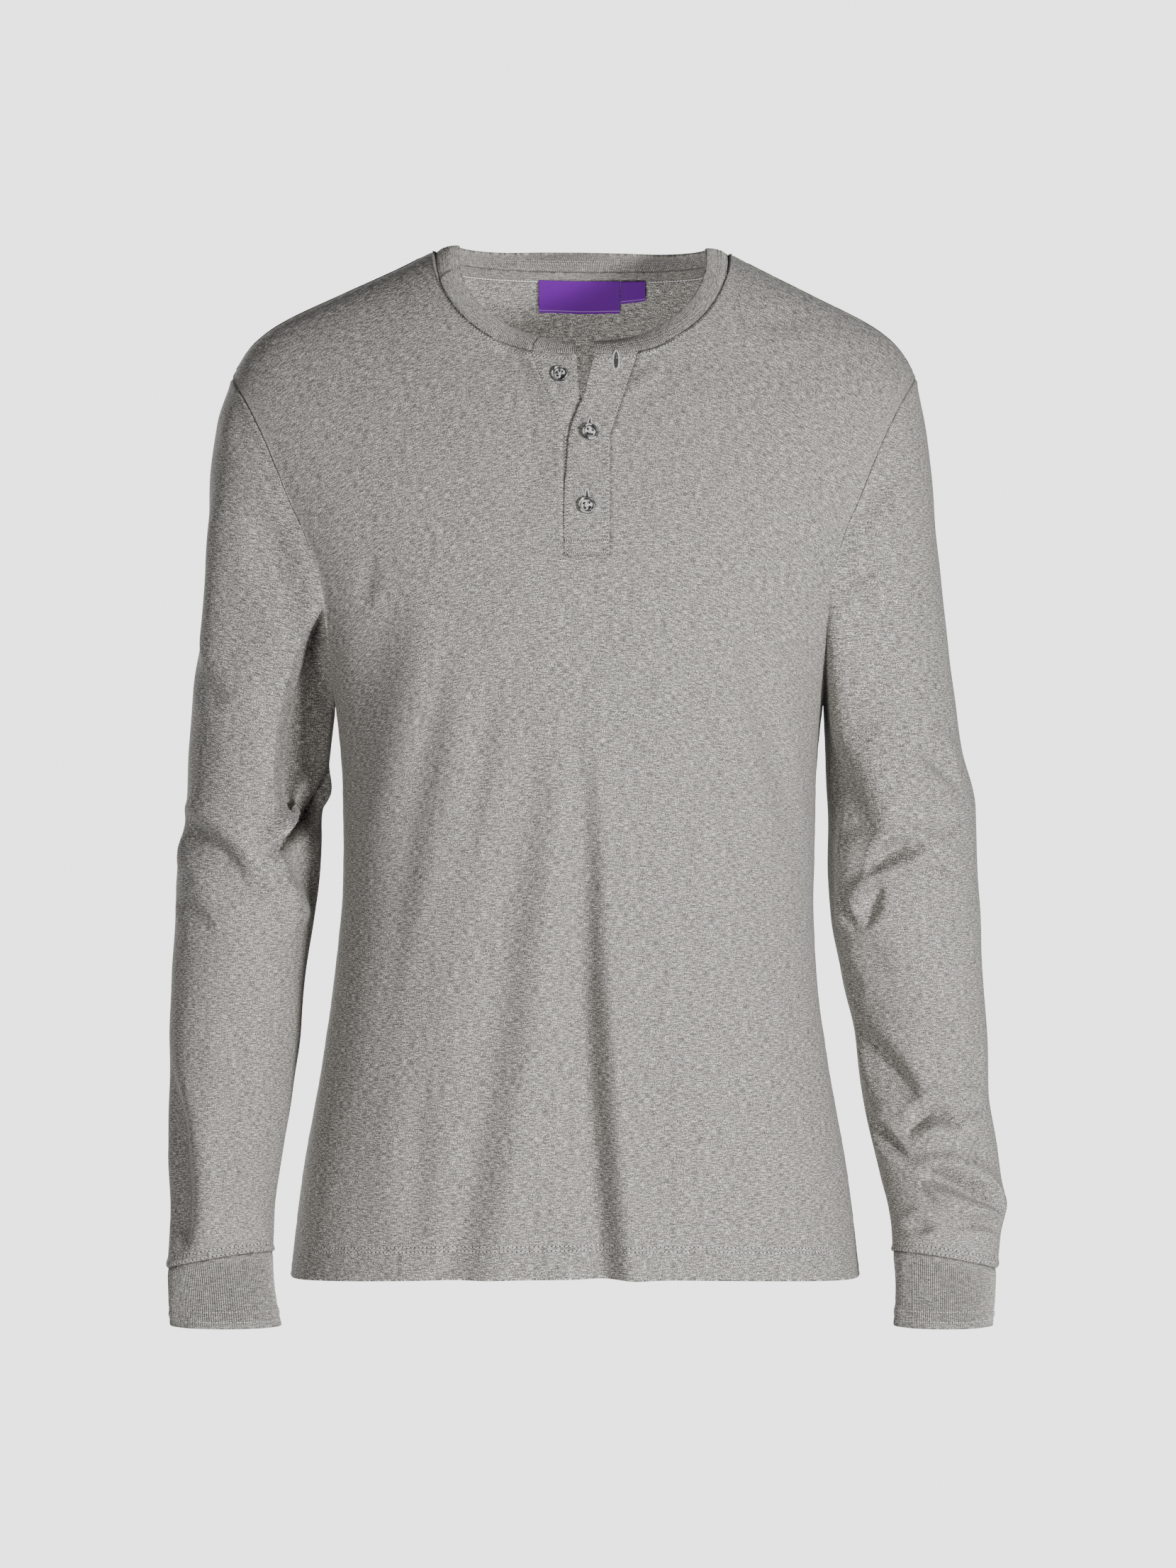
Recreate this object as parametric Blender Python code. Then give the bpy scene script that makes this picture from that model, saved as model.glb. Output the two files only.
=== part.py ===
"""Long-sleeved henley shirt in fine jersey, filled out as if worn, with no wearer.

Frame: metres, +Z up, the front faces -Y and the wearer's left is +X. The origin lies between
the two neck points, where the shoulder seams meet the neckband. Every cloth piece is a wall:
a grid of points on its outer face, and the same grid moved in by the cloth's thickness.
"""

import math
from typing import NamedTuple

import bpy
import numpy as np
from mathutils import Vector
from mathutils.geometry import tessellate_polygon
from mathutils.kdtree import KDTree

for leftover in list(bpy.data.objects):
    bpy.data.objects.remove(leftover)

# ---------------------------------------------------------------- driving dimensions
JERSEY = 0.0012           # thickness of one layer of jersey
RIB = 0.0018              # thickness of the doubled rib of neckband and cuffs
SEAM_GAP = 0.0003         # between two pieces at a seam
LAYER_GAP = 0.0003        # between two pieces that lie on each other

HEM_SIDE = -0.7085        # height of the hem at the side seams
HEM_FRONT = -0.6990       # height of the hem at the middle of the front
HEM_BACK = -0.7060        # height of the hem at the middle of the back
UNDERARM = -0.3050        # height where side seam, armhole and sleeve seam meet
SHOULDER_HALF = 0.2355    # middle to the sleeve seam, over the shoulder
NECK_HALF = 0.1012        # half the width of the neckline at the shoulder seams
NECK_MIDDLE = 0.0022      # the neckline's own middle, across
NECK_FRONT_DROP = 0.0780  # from the neck points down to the front of the neckline
NECK_BACK_DROP = 0.0065   # and down to its back

PLACKET_MIDDLE = 0.0052
PLACKET_HALF = 0.0153     # half the width of a placket band
PLACKET_END = -0.2192     # height of the placket's lower end
PLACKET_OPEN = -0.1370    # the bands part above this height
PLACKET_TOP_LEFT = -0.0323    # where the button band's seam meets the neckline
PLACKET_TOP_RIGHT = 0.0398    # where the buttonhole band's seam meets it

BAND_WIDTH = 0.0160       # neckband, seam to folded edge
CUFF_END = -0.7368        # height of the cuffs' open ends
BUTTON_RADIUS = 0.0060
BUTTON_HEIGHT = 0.0026
BUTTON_HOLE_RADIUS = 0.0008
BUTTON_HOLE_OFFSET = 0.0014

# ---------------------------------------------------------------- how finely each piece is cut
ROWS_LOWER = 15           # hem to underarm
ROWS_UPPER = 14           # underarm to shoulder
SLOT_ROW = 4              # row of the upper part where the placket ends
SIDE_COLUMNS = 9          # side to neck point, on each half
NECK_COLUMNS = 7          # neck point to placket seam, on each half
SLOT_COLUMNS = 2          # across the placket's width
BACK_NECK_COLUMNS = 12    # neck point to neck point, across the back
SLEEVE_RINGS = 26
CUFF_RINGS = 3
BAND_ACROSS = 2
PLACKET_COLUMNS = 6


# ---------------------------------------------------------------- tables
class TorsoRow(NamedTuple):
    """The body's section at one height: half its width, and how far front and back stand out."""

    height: float
    half_width: float
    front: float
    back: float


TORSO = (
    TorsoRow(-0.7085, 0.1960, 0.1260, 0.1200),
    TorsoRow(-0.6400, 0.1877, 0.1230, 0.1160),
    TorsoRow(-0.5600, 0.1738, 0.1200, 0.1100),
    TorsoRow(-0.5000, 0.1658, 0.1205, 0.1060),
    TorsoRow(-0.4400, 0.1622, 0.1225, 0.1055),
    TorsoRow(-0.3700, 0.1630, 0.1280, 0.1110),
    TorsoRow(-0.3300, 0.1662, 0.1310, 0.1150),
    TorsoRow(-0.3050, 0.1700, 0.1320, 0.1180),
    TorsoRow(-0.2700, 0.1810, 0.1330, 0.1200),
    TorsoRow(-0.2400, 0.1930, 0.1330, 0.1210),
    TorsoRow(-0.2000, 0.2090, 0.1320, 0.1210),
    TorsoRow(-0.1550, 0.2330, 0.1290, 0.1200),
    TorsoRow(-0.1100, 0.2600, 0.1240, 0.1180),
    TorsoRow(-0.0800, 0.2750, 0.1190, 0.1170),
    TorsoRow(0.0200, 0.3000, 0.1150, 0.1160),
)


class RidgeRow(NamedTuple):
    """The top of the shoulders: the highest point of the cloth this far from the middle."""

    out: float
    height: float


RIDGE = (
    RidgeRow(0.0000, 0.0160),
    RidgeRow(0.0600, 0.0120),
    RidgeRow(0.1000, -0.0030),
    RidgeRow(0.1225, -0.0145),
    RidgeRow(0.1634, -0.0340),
    RidgeRow(0.2029, -0.0535),
    RidgeRow(0.2170, -0.0635),
    RidgeRow(0.2259, -0.0730),
    RidgeRow(0.2355, -0.0905),
    RidgeRow(0.2600, -0.1500),
)


class ArmholeRow(NamedTuple):
    """How far from the middle the armhole runs at one height, on the front and on the back."""

    height: float
    front: float
    back: float


ARMHOLE = (
    ArmholeRow(-0.3050, 0.1700, 0.1700),
    ArmholeRow(-0.2700, 0.1700, 0.1730),
    ArmholeRow(-0.2400, 0.1722, 0.1790),
    ArmholeRow(-0.2000, 0.1832, 0.1920),
    ArmholeRow(-0.1780, 0.1932, 0.2000),
    ArmholeRow(-0.1550, 0.2025, 0.2085),
    ArmholeRow(-0.1320, 0.2125, 0.2175),
    ArmholeRow(-0.1100, 0.2237, 0.2265),
    ArmholeRow(-0.0905, 0.2355, 0.2355),
)


class PathRow(NamedTuple):
    """How far from the middle the sleeve's outer and inner edges hang at one height."""

    height: float
    right_outer: float
    left_outer: float
    right_inner: float
    left_inner: float


SLEEVE_PATHS = (
    PathRow(-0.0905, 0.2390, 0.2320, 0.1650, 0.1650),
    PathRow(-0.1225, 0.2499, 0.2382, 0.1660, 0.1660),
    PathRow(-0.1715, 0.2558, 0.2446, 0.1670, 0.1670),
    PathRow(-0.2204, 0.2578, 0.2490, 0.1680, 0.1680),
    PathRow(-0.2694, 0.2623, 0.2544, 0.1690, 0.1690),
    PathRow(-0.3087, 0.2672, 0.2594, 0.1704, 0.1702),
    PathRow(-0.3479, 0.2702, 0.2648, 0.1741, 0.1708),
    PathRow(-0.3871, 0.2718, 0.2742, 0.1776, 0.1712),
    PathRow(-0.4264, 0.2777, 0.2757, 0.1786, 0.1715),
    PathRow(-0.4655, 0.2794, 0.2774, 0.1833, 0.1742),
    PathRow(-0.5046, 0.2810, 0.2786, 0.1899, 0.1816),
    PathRow(-0.5434, 0.2824, 0.2809, 0.1922, 0.1906),
    PathRow(-0.5820, 0.2813, 0.2813, 0.1974, 0.1946),
    PathRow(-0.6204, 0.2815, 0.2864, 0.2033, 0.2020),
    PathRow(-0.6394, 0.2806, 0.2884, 0.2058, 0.2064),
    PathRow(-0.6584, 0.2796, 0.2919, 0.2074, 0.2109),
    PathRow(-0.6773, 0.2792, 0.2876, 0.2080, 0.2130),
    PathRow(-0.6962, 0.2798, 0.2848, 0.2084, 0.2138),
    PathRow(-0.7152, 0.2787, 0.2802, 0.2060, 0.2132),
    PathRow(-0.7368, 0.2773, 0.2806, 0.2020, 0.2134),
)


class GirthRow(NamedTuple):
    """A sleeve's middle and half depth, front to back, at one share of its length."""

    share: float
    middle: float
    half_depth: float


SLEEVE_GIRTH = (
    GirthRow(0.00, 0.0010, 0.0560),
    GirthRow(0.15, 0.0010, 0.0600),
    GirthRow(0.30, 0.0020, 0.0620),
    GirthRow(0.45, 0.0040, 0.0590),
    GirthRow(0.60, 0.0020, 0.0520),
    GirthRow(0.80, -0.0190, 0.0430),
    GirthRow(0.93, -0.0390, 0.0350),
    GirthRow(1.00, -0.0500, 0.0275),
)
WRIST_OUTER = -0.7005     # height of the cuff seam on the outer side of the sleeve
WRIST_INNER = -0.6885     # and on its inner side
WRIST_TILT = 0.0045       # the front of the cuff seam is this much higher, and its back lower
CUFF_END_MIDDLE = -0.0575     # the cuff's middle, front to back, at its open end
CUFF_END_DEPTH = 0.0255


class Fold(NamedTuple):
    """A soft fold along a curved line: the cloth sinks on the line's left and swells on its right.

    start, bend and end are (across, height); for a sleeve, across is degrees round it. rise is
    the height of the swell, width its distance from the line, and fade_in and fade_out are the
    shares of its length over which it comes and goes.
    """

    start: tuple
    bend: tuple
    end: tuple
    width: float
    rise: float
    fade_in: float
    fade_out: float


FRONT_FOLDS = (
    Fold((-0.112, -0.235), (-0.140, -0.330), (-0.166, -0.450), 0.016, 0.0058, 0.5, 0.4),
    Fold((-0.078, -0.260), (-0.092, -0.380), (-0.130, -0.590), 0.013, 0.0049, 0.4, 0.5),
    Fold((-0.020, -0.320), (-0.030, -0.470), (-0.075, -0.712), 0.014, 0.0058, 0.4, 0.0),
    Fold((0.006, -0.300), (0.014, -0.520), (0.024, -0.712), 0.013, 0.0061, 0.5, 0.0),
    Fold((0.062, -0.270), (0.084, -0.360), (0.118, -0.480), 0.014, 0.0038, 0.5, 0.5),
    Fold((0.110, -0.235), (0.132, -0.340), (0.154, -0.460), 0.012, 0.0052, 0.5, 0.4),
)
BACK_FOLDS = (
    Fold((-0.105, -0.250), (-0.112, -0.380), (-0.128, -0.560), 0.016, 0.0047, 0.5, 0.5),
    Fold((-0.045, -0.300), (-0.050, -0.480), (-0.070, -0.714), 0.015, 0.0052, 0.5, 0.0),
    Fold((0.012, -0.340), (0.018, -0.520), (0.014, -0.714), 0.014, 0.0044, 0.5, 0.0),
    Fold((0.070, -0.280), (0.080, -0.440), (0.098, -0.700), 0.016, 0.0049, 0.5, 0.2),
    Fold((0.120, -0.240), (0.130, -0.340), (0.148, -0.460), 0.013, 0.0039, 0.5, 0.5),
)
RIGHT_SLEEVE_FOLDS = (
    Fold((62.0, -0.150), (74.0, -0.220), (96.0, -0.285), 0.013, -0.0036, 0.4, 0.5),
    Fold((40.0, -0.412), (70.0, -0.415), (104.0, -0.470), 0.010, 0.0038, 0.3, 0.4),
    Fold((195.0, -0.385), (150.0, -0.405), (112.0, -0.424), 0.009, -0.0060, 0.3, 0.5),
    Fold((40.0, -0.540), (52.0, -0.610), (44.0, -0.690), 0.014, 0.0036, 0.4, 0.3),
    Fold((-60.0, -0.330), (-85.0, -0.430), (-100.0, -0.560), 0.016, 0.0038, 0.4, 0.5),
    Fold((-130.0, -0.400), (-105.0, -0.428), (-60.0, -0.440), 0.014, 0.0026, 0.5, 0.5),
)
LEFT_SLEEVE_FOLDS = (
    Fold((60.0, -0.120), (90.0, -0.180), (120.0, -0.250), 0.013, 0.0034, 0.4, 0.5),
    Fold((165.0, -0.330), (135.0, -0.370), (105.0, -0.412), 0.012, 0.0050, 0.4, 0.3),
    Fold((150.0, -0.445), (115.0, -0.415), (75.0, -0.412), 0.009, -0.0050, 0.3, 0.4),
    Fold((50.0, -0.340), (60.0, -0.365), (36.0, -0.395), 0.009, 0.0034, 0.4, 0.4),
    Fold((160.0, -0.530), (130.0, -0.565), (98.0, -0.592), 0.010, 0.0043, 0.4, 0.4),
    Fold((110.0, -0.612), (80.0, -0.592), (50.0, -0.606), 0.008, -0.0034, 0.4, 0.4),
    Fold((95.0, -0.640), (65.0, -0.650), (20.0, -0.676), 0.009, -0.0043, 0.4, 0.3),
    Fold((-70.0, -0.300), (-95.0, -0.410), (-90.0, -0.540), 0.016, 0.0036, 0.4, 0.5),
    Fold((-135.0, -0.440), (-105.0, -0.462), (-65.0, -0.455), 0.013, 0.0027, 0.5, 0.5),
)


class BandEdgeRow(NamedTuple):
    """Where the two placket bands end at one height: the free edge of each, across."""

    height: float
    under_edge: float
    over_edge: float


BAND_EDGES = (
    BandEdgeRow(-0.2192, 0.0195, -0.0094),
    BandEdgeRow(-0.1798, 0.0195, -0.0092),
    BandEdgeRow(-0.1595, 0.0193, -0.0078),
    BandEdgeRow(-0.1414, 0.0188, -0.0064),
    BandEdgeRow(-0.1321, 0.0165, -0.0050),
    BandEdgeRow(-0.1217, 0.0080, -0.0012),
    BandEdgeRow(-0.1097, 0.0002, 0.0038),
    BandEdgeRow(-0.0935, -0.0018, 0.0080),
    BandEdgeRow(-0.0738, -0.0034, 0.0126),
)
BAND_CLOTH = 0.0018       # thickness of a placket band, two layers of jersey
OVER_RISE = 0.0003        # the buttonhole band lies this far out from the chest
UNDER_SINK = 0.0019       # the button band sinks this far where the other covers it
OVER_LIFT = 0.0045        # the unbuttoned corner stands this far off the chest


class ButtonRow(NamedTuple):
    """Where a button is sewn: across, height, and whether it shows on the buttonhole band."""

    across: float
    height: float
    buttoned: bool


BUTTONS = (
    ButtonRow(-0.0129, -0.0957, False),
    ButtonRow(0.0068, -0.1357, True),
    ButtonRow(0.0052, -0.1854, True),
)


class LeanRow(NamedTuple):
    """How upright the neckband stands: the share of its width that goes up, by compass angle."""

    angle: float
    upright: float


BAND_LEAN = (
    LeanRow(0.0, 0.62),
    LeanRow(50.0, 0.67),
    LeanRow(75.0, 0.46),
    LeanRow(92.0, 0.28),
    LeanRow(115.0, 0.45),
    LeanRow(150.0, 0.66),
    LeanRow(180.0, 0.70),
)
NECK_AXIS = (0.0022, -0.0120)     # the middle of the neck, seen from above
SHOULDER_SWAY = -0.0035   # the shoulders and armholes stand this far to one side of the middle
SKIRT_SWAY = -0.0028      # and so does the hem
SKIRT_SWAY_FROM = -0.4000     # below this height


# ---------------------------------------------------------------- curves
def column(rows, name):
    """One named column of a table, as an array."""
    return np.array([getattr(row, name) for row in rows], float)


def curve(knots, values, at):
    """A smooth curve through the values at the knots that never overshoots them (monotone cubic)."""
    order = np.argsort(knots)
    knots, values = np.asarray(knots, float)[order], np.asarray(values, float)[order]
    step = np.diff(knots)
    slope = np.diff(values) / step
    before, after = slope[:-1], slope[1:]
    same_way = before * after > 0
    total = np.where(same_way, before + after, 1.0)
    tangent = np.concatenate([[slope[0]], np.where(same_way, 2 * before * after / total, 0.0), [slope[-1]]])
    at = np.clip(at, knots[0], knots[-1])
    i = np.clip(np.searchsorted(knots, at, side="right") - 1, 0, len(step) - 1)
    s = (at - knots[i]) / step[i]
    return (
        values[i] * (1 + 2 * s) * (1 - s) ** 2
        + tangent[i] * step[i] * s * (1 - s) ** 2
        + values[i + 1] * s**2 * (3 - 2 * s)
        - tangent[i + 1] * step[i] * s**2 * (1 - s)
    )


def read(rows, key, name, at):
    """The table's column `name` at the key's value `at`, smoothly between rows."""
    return curve(column(rows, key), column(rows, name), at)


def ease(x):
    """Goes smoothly from 0 at x = 0 to 1 at x = 1."""
    x = np.clip(x, 0.0, 1.0)
    return x * x * (3 - 2 * x)


# ---------------------------------------------------------------- folds
BEND_POINTS = 14
WAVE_PEAK = math.exp(-0.5)


def fold_relief(folds, across, height):
    """How far the folds move the cloth out at each point (across, height), both in metres."""
    relief = np.zeros(np.broadcast(across, height).shape)
    for fold in folds:
        s = np.linspace(0.0, 1.0, BEND_POINTS)[:, None]
        a, b, c = (np.array(p, float) for p in (fold.start, fold.bend, fold.end))
        line = (1 - s) ** 2 * a + 2 * s * (1 - s) * b + s**2 * c
        nearest = np.full(relief.shape, np.inf)
        signed = np.zeros(relief.shape)
        along = np.zeros(relief.shape)
        for i in range(BEND_POINTS - 1):
            p, d = line[i], line[i + 1] - line[i]
            low, high = (-9.0 if i == 0 else 0.0), (9.0 if i == BEND_POINTS - 2 else 1.0)
            t = np.clip(((across - p[0]) * d[0] + (height - p[1]) * d[1]) / (d @ d), low, high)
            gap_x, gap_z = across - p[0] - t * d[0], height - p[1] - t * d[1]
            gap = np.hypot(gap_x, gap_z)
            closer = gap < nearest
            side = np.where(d[0] * gap_z - d[1] * gap_x > 0, 1.0, -1.0)
            signed = np.where(closer, side * gap, signed)
            along = np.where(closer, (i + t) / (BEND_POINTS - 1), along)
            nearest = np.minimum(nearest, gap)
        ends = ease(along / max(fold.fade_in, 1e-3)) if fold.fade_in else 1.0
        ends = ends * (ease((1 - along) / max(fold.fade_out, 1e-3)) if fold.fade_out else 1.0)
        wave = signed / fold.width
        relief = relief + fold.rise * ends * wave * np.exp(-0.5 * wave**2) / WAVE_PEAK
    return relief


# ---------------------------------------------------------------- the body's form
SECTION_POWER = 2.3       # how square the body's sections are; 2 is an ellipse
FRONT, BACK = -1, 1


def ridge(across):
    """Height of the top of the shoulders this far across."""
    return read(RIDGE, "out", "height", np.abs(across))


def stand_out(side, across, height):
    """y of the body's outer face before its folds: its rounded section closes at the sides and the ridge."""
    reach = read(TORSO, "height", "front" if side == FRONT else "back", height)
    half = read(TORSO, "height", "half_width", height)
    section = (1 - np.clip(np.abs(across) / half, 0, 1) ** SECTION_POWER) ** (1 / SECTION_POWER)
    top = ridge(across)
    climb = np.clip((height - UNDERARM) / (top - UNDERARM), 0, 1)
    return side * reach * section * np.sqrt(1 - climb**2)


def neckline(side, across):
    """Height of the neck seam this far across."""
    drop = NECK_FRONT_DROP if side == FRONT else NECK_BACK_DROP
    power, root = (2.6, 0.49) if side == FRONT else (2.2, 0.50)
    share = np.clip(np.abs(across - NECK_MIDDLE) / NECK_HALF, 0, 1)
    right_point, left_point = ridge(NECK_MIDDLE - NECK_HALF), ridge(NECK_MIDDLE + NECK_HALF)
    level = (1 + np.clip((across - NECK_MIDDLE) / NECK_HALF, -1, 1)) / 2
    return right_point + (left_point - right_point) * level - drop * (1 - share**power) ** root


def hem(side, share):
    """Height of the hem at a share of the way across, from -1 to 1."""
    middle = HEM_FRONT if side == FRONT else HEM_BACK
    return HEM_SIDE + (middle - HEM_SIDE) * np.cos(share * math.pi / 2) ** 1.5


NECK_SHARE = 0.46         # share of the way across where the columns meet the neck points
SLOT_SHARE = 0.058        # and where they meet the placket's seams


def columns(side):
    """Shares of the way across, -1 to 1, one for each column of points."""
    outer = np.linspace(-1, -NECK_SHARE, SIDE_COLUMNS + 1)
    if side == FRONT:
        neck = np.linspace(-NECK_SHARE, -SLOT_SHARE, NECK_COLUMNS + 1)
        slot = np.linspace(-SLOT_SHARE, SLOT_SHARE, SLOT_COLUMNS + 1)
        return np.concatenate([outer, neck[1:], slot[1:], -neck[-2::-1], -outer[-2::-1]])
    neck = np.linspace(-NECK_SHARE, NECK_SHARE, BACK_NECK_COLUMNS + 1)
    return np.concatenate([outer, neck[1:], -outer[-2::-1]])


def even_neck(side, way, inner):
    """Points (across) along the neckline from `inner` to a neck point, and their shares of its length."""
    turn = np.linspace(math.asin(abs(inner - NECK_MIDDLE) / NECK_HALF), math.pi / 2, 200)
    across = NECK_MIDDLE + way * NECK_HALF * np.sin(turn)
    height = neckline(side, across)
    line = np.column_stack([across, stand_out(side, across, height), height])
    length = np.concatenate([[0.0], np.cumsum(np.linalg.norm(np.diff(line, axis=0), axis=1))])
    return length / length[-1], across


def top_edge(side, share):
    """(across, height) of the panel's top edge: shoulder seam, neckline, shoulder seam."""
    way = np.sign(share)
    neck_point = NECK_MIDDLE + way * NECK_HALF
    along = np.clip((np.abs(share) - NECK_SHARE) / (1 - NECK_SHARE), 0, 1)
    across = neck_point + (way * SHOULDER_HALF - neck_point) * along
    start = SLOT_SHARE if side == FRONT else 0.0
    for half, corner in ((-1, PLACKET_TOP_LEFT), (1, PLACKET_TOP_RIGHT)):
        inner = corner if side == FRONT else NECK_MIDDLE
        length, line = even_neck(side, half, inner)
        place = np.clip((np.abs(share) - start) / (NECK_SHARE - start), 0, 1)
        here = (np.abs(share) < NECK_SHARE - 1e-9) & (way * half >= 0) & (np.abs(share) >= start - 1e-9)
        across = np.where(here, np.interp(place, length, line), across)
    in_neck = np.abs(share) < NECK_SHARE - 1e-9
    height = np.where(in_neck, neckline(side, across), ridge(across))
    if side == FRONT:
        between = (share + SLOT_SHARE) / (2 * SLOT_SHARE)
        in_slot = (between > 0) & (between < 1)
        left, right = np.array([PLACKET_TOP_LEFT, 0.0]), np.array([PLACKET_TOP_RIGHT, 0.0])
        left[1], right[1] = neckline(side, left[0]), neckline(side, right[0])
        across = np.where(in_slot, left[0] + (right[0] - left[0]) * between, across)
        height = np.where(in_slot, left[1] + (right[1] - left[1]) * between, height)
    return across, height


def slot_edges(height):
    """The seams of the button band and of the buttonhole band, across, at each height."""
    edges = []
    for way, top in ((-1, PLACKET_TOP_LEFT), (1, PLACKET_TOP_RIGHT)):
        straight = PLACKET_MIDDLE + way * PLACKET_HALF
        opening = np.clip((height - PLACKET_OPEN) / (neckline(FRONT, top) - PLACKET_OPEN), 0, 1)
        edges.append(straight + (top - straight) * opening)
    return edges


def armhole_share(rows):
    """Share of the way up the armhole for each upper row: its points are even round the loop."""
    return np.sin(rows * math.pi / 2) ** 2


def panel_map(side, share, rows_lower, rows_upper):
    """(across, height) of every point of a body panel, seen from the front, hem row first."""
    share = share[None, :]
    arc = np.sin(share * math.pi / 2)
    climb = np.linspace(0, 1, rows_lower + 1)[:, None]
    low_height = hem(side, share) + (UNDERARM - hem(side, share)) * climb
    low_across = read(TORSO, "height", "half_width", low_height) * arc

    turn = np.linspace(0, 1, rows_upper + 1)[1:, None]
    on_edge = armhole_share(turn)
    neck_height = neckline(side, PLACKET_MIDDLE)
    slot_climb = (PLACKET_END - UNDERARM) / (neck_height - UNDERARM)
    slot_turn = SLOT_ROW / ROWS_UPPER
    round_power = math.log(slot_climb) / math.log(math.sin(slot_turn * math.pi / 2))
    rounded = np.sin(turn * math.pi / 2) ** round_power
    even = turn ** (math.log(slot_climb) / math.log(slot_turn))
    inside = even + (rounded - even) * (ease((np.abs(share) - 0.20) / 0.24) if side == FRONT else 1.0)
    near_edge = np.abs(share) ** 4
    progress = inside + (on_edge - inside) * near_edge
    top_across, top_height = top_edge(side, share)
    narrowing = 1 - np.sqrt(1 - progress**2)
    spread = arc + 0.55 * (share - arc) * ease(progress / 0.35)
    width = (1 - narrowing) * spread + narrowing * top_across / SHOULDER_HALF
    flank = "front" if side == FRONT else "back"
    high_height = UNDERARM + (top_height - UNDERARM) * progress
    high_across = read(ARMHOLE, "height", flank, high_height) * width
    high_height = high_height + (ridge(high_across) - ridge(top_across)) * progress * (1 - near_edge)
    high_across = read(ARMHOLE, "height", flank, high_height) * width
    across, height = np.vstack([low_across, high_across]), np.vstack([low_height, high_height])
    return (across, height) if side == BACK else (open_slot(share, across, height), height)


def open_slot(share, across, height):
    """Moves the columns beside the placket onto its seams, and the others a little less each."""
    left, right = slot_edges(height)
    fade_below = ease((height - (-0.36)) / 0.12)
    at_left = across[:, np.argmin(np.abs(share[0] + SLOT_SHARE))][:, None]
    at_right = across[:, np.argmin(np.abs(share[0] - SLOT_SHARE))][:, None]
    toward = np.clip((share + SLOT_SHARE) / (2 * SLOT_SHARE), 0, 1)
    shift = (left - at_left) * (1 - toward) + (right - at_right) * toward
    away = np.clip((np.abs(share) - SLOT_SHARE) / (NECK_SHARE - SLOT_SHARE), 0, 1)
    return across + shift * fade_below * (1 - away) ** 2


def seam_guard(across, height, side):
    """1 inside a body panel and 0 at its seams, so that folds die out where pieces are sewn."""
    half = read(TORSO, "height", "half_width", height)
    from_side = ease((half - np.abs(across)) / 0.020)
    edge = read(ARMHOLE, "height", "front" if side == FRONT else "back", height)
    from_armhole = np.where(height > UNDERARM, ease((edge - np.abs(across)) / 0.025), 1.0)
    from_top = ease((ridge(across) - height) / 0.05)
    return from_side * from_armhole * from_top


def body_surface(side, across, height):
    """Points of a body panel's outer face at (across, height), with its folds."""
    folds = FRONT_FOLDS if side == FRONT else BACK_FOLDS
    y = stand_out(side, across, height)
    relief = fold_relief(folds, across, height) * seam_guard(across, height, side)
    return np.stack([across, y + side * relief, height], axis=-1)


# ---------------------------------------------------------------- grids and walls
def grid_normals(grid, ring=False):
    """Unit normals of a grid of points; ring says that its last column meets its first."""
    if ring:
        wide = np.concatenate([grid[:, -1:], grid, grid[:, :1]], axis=1)
        across = wide[:, 2:] - wide[:, :-2]
    else:
        across = np.gradient(grid, axis=1)
    up = np.gradient(grid, axis=0)
    normal = np.cross(across, up)
    return normal / np.maximum(np.linalg.norm(normal, axis=2, keepdims=True), 1e-12)


SAME_POINT = 0.00004      # points of two pieces this near each other meet at a seam


class Piece:
    """One cloth piece: a grid of points on its outer face, its normals, and its thickness."""

    def __init__(self, name, outer, thickness, ring=False, keep=None, normal=None):
        self.name = name
        self.outer = outer
        self.thickness = thickness
        self.ring = ring
        self.keep = keep
        self.normal = outward_normals(outer, ring) if normal is None else normal
        self.cut = outer.copy()

    def draw_in(self, edge, towards):
        """Moves the points at edge by half a seam's gap towards the points beside them."""
        step = self.outer[towards] - self.outer[edge]
        length = np.maximum(np.linalg.norm(step, axis=-1, keepdims=True), 1e-9)
        self.cut[edge] += step * (SEAM_GAP / 2 / length)

    def add(self, colour, roughness=0.9):
        """Adds the piece to the scene as a closed wall."""
        material = cloth_material(self.name.replace("_", " "), colour, roughness)
        return add_cloth(self.name, self.cut, -self.normal, self.thickness, material, self.keep, self.ring)


def outward_normals(grid, ring):
    """Normals of a grid that point away from the garment's inside."""
    normal = grid_normals(grid, ring)
    away = (grid - grid.mean(axis=1, keepdims=True)) if ring else grid * [1.0, 1.0, 0.0]
    return normal * (1.0 if (normal * away).sum() > 0 else -1.0)


def join_normals(pieces):
    """Where points of several pieces meet at a seam, those that face alike get one direction."""
    points = np.concatenate([piece.outer.reshape(-1, 3) for piece in pieces])
    normals = np.concatenate([piece.normal.reshape(-1, 3) for piece in pieces])
    tree = KDTree(len(points))
    for number, point in enumerate(points):
        tree.insert(point, number)
    tree.balance()
    joined = normals.copy()
    for number, point in enumerate(points):
        members = [found[1] for found in tree.find_range(point, SAME_POINT)]
        if len(members) > 1:
            alike = ease((normals[members] @ normals[number] + 0.1) / 0.5)
            mixed = alike @ normals[members]
            joined[number] = mixed / np.linalg.norm(mixed)
    at = 0
    for piece in pieces:
        size = piece.outer.shape[0] * piece.outer.shape[1]
        piece.normal = joined[at:at + size].reshape(piece.outer.shape)
        at += size


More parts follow.
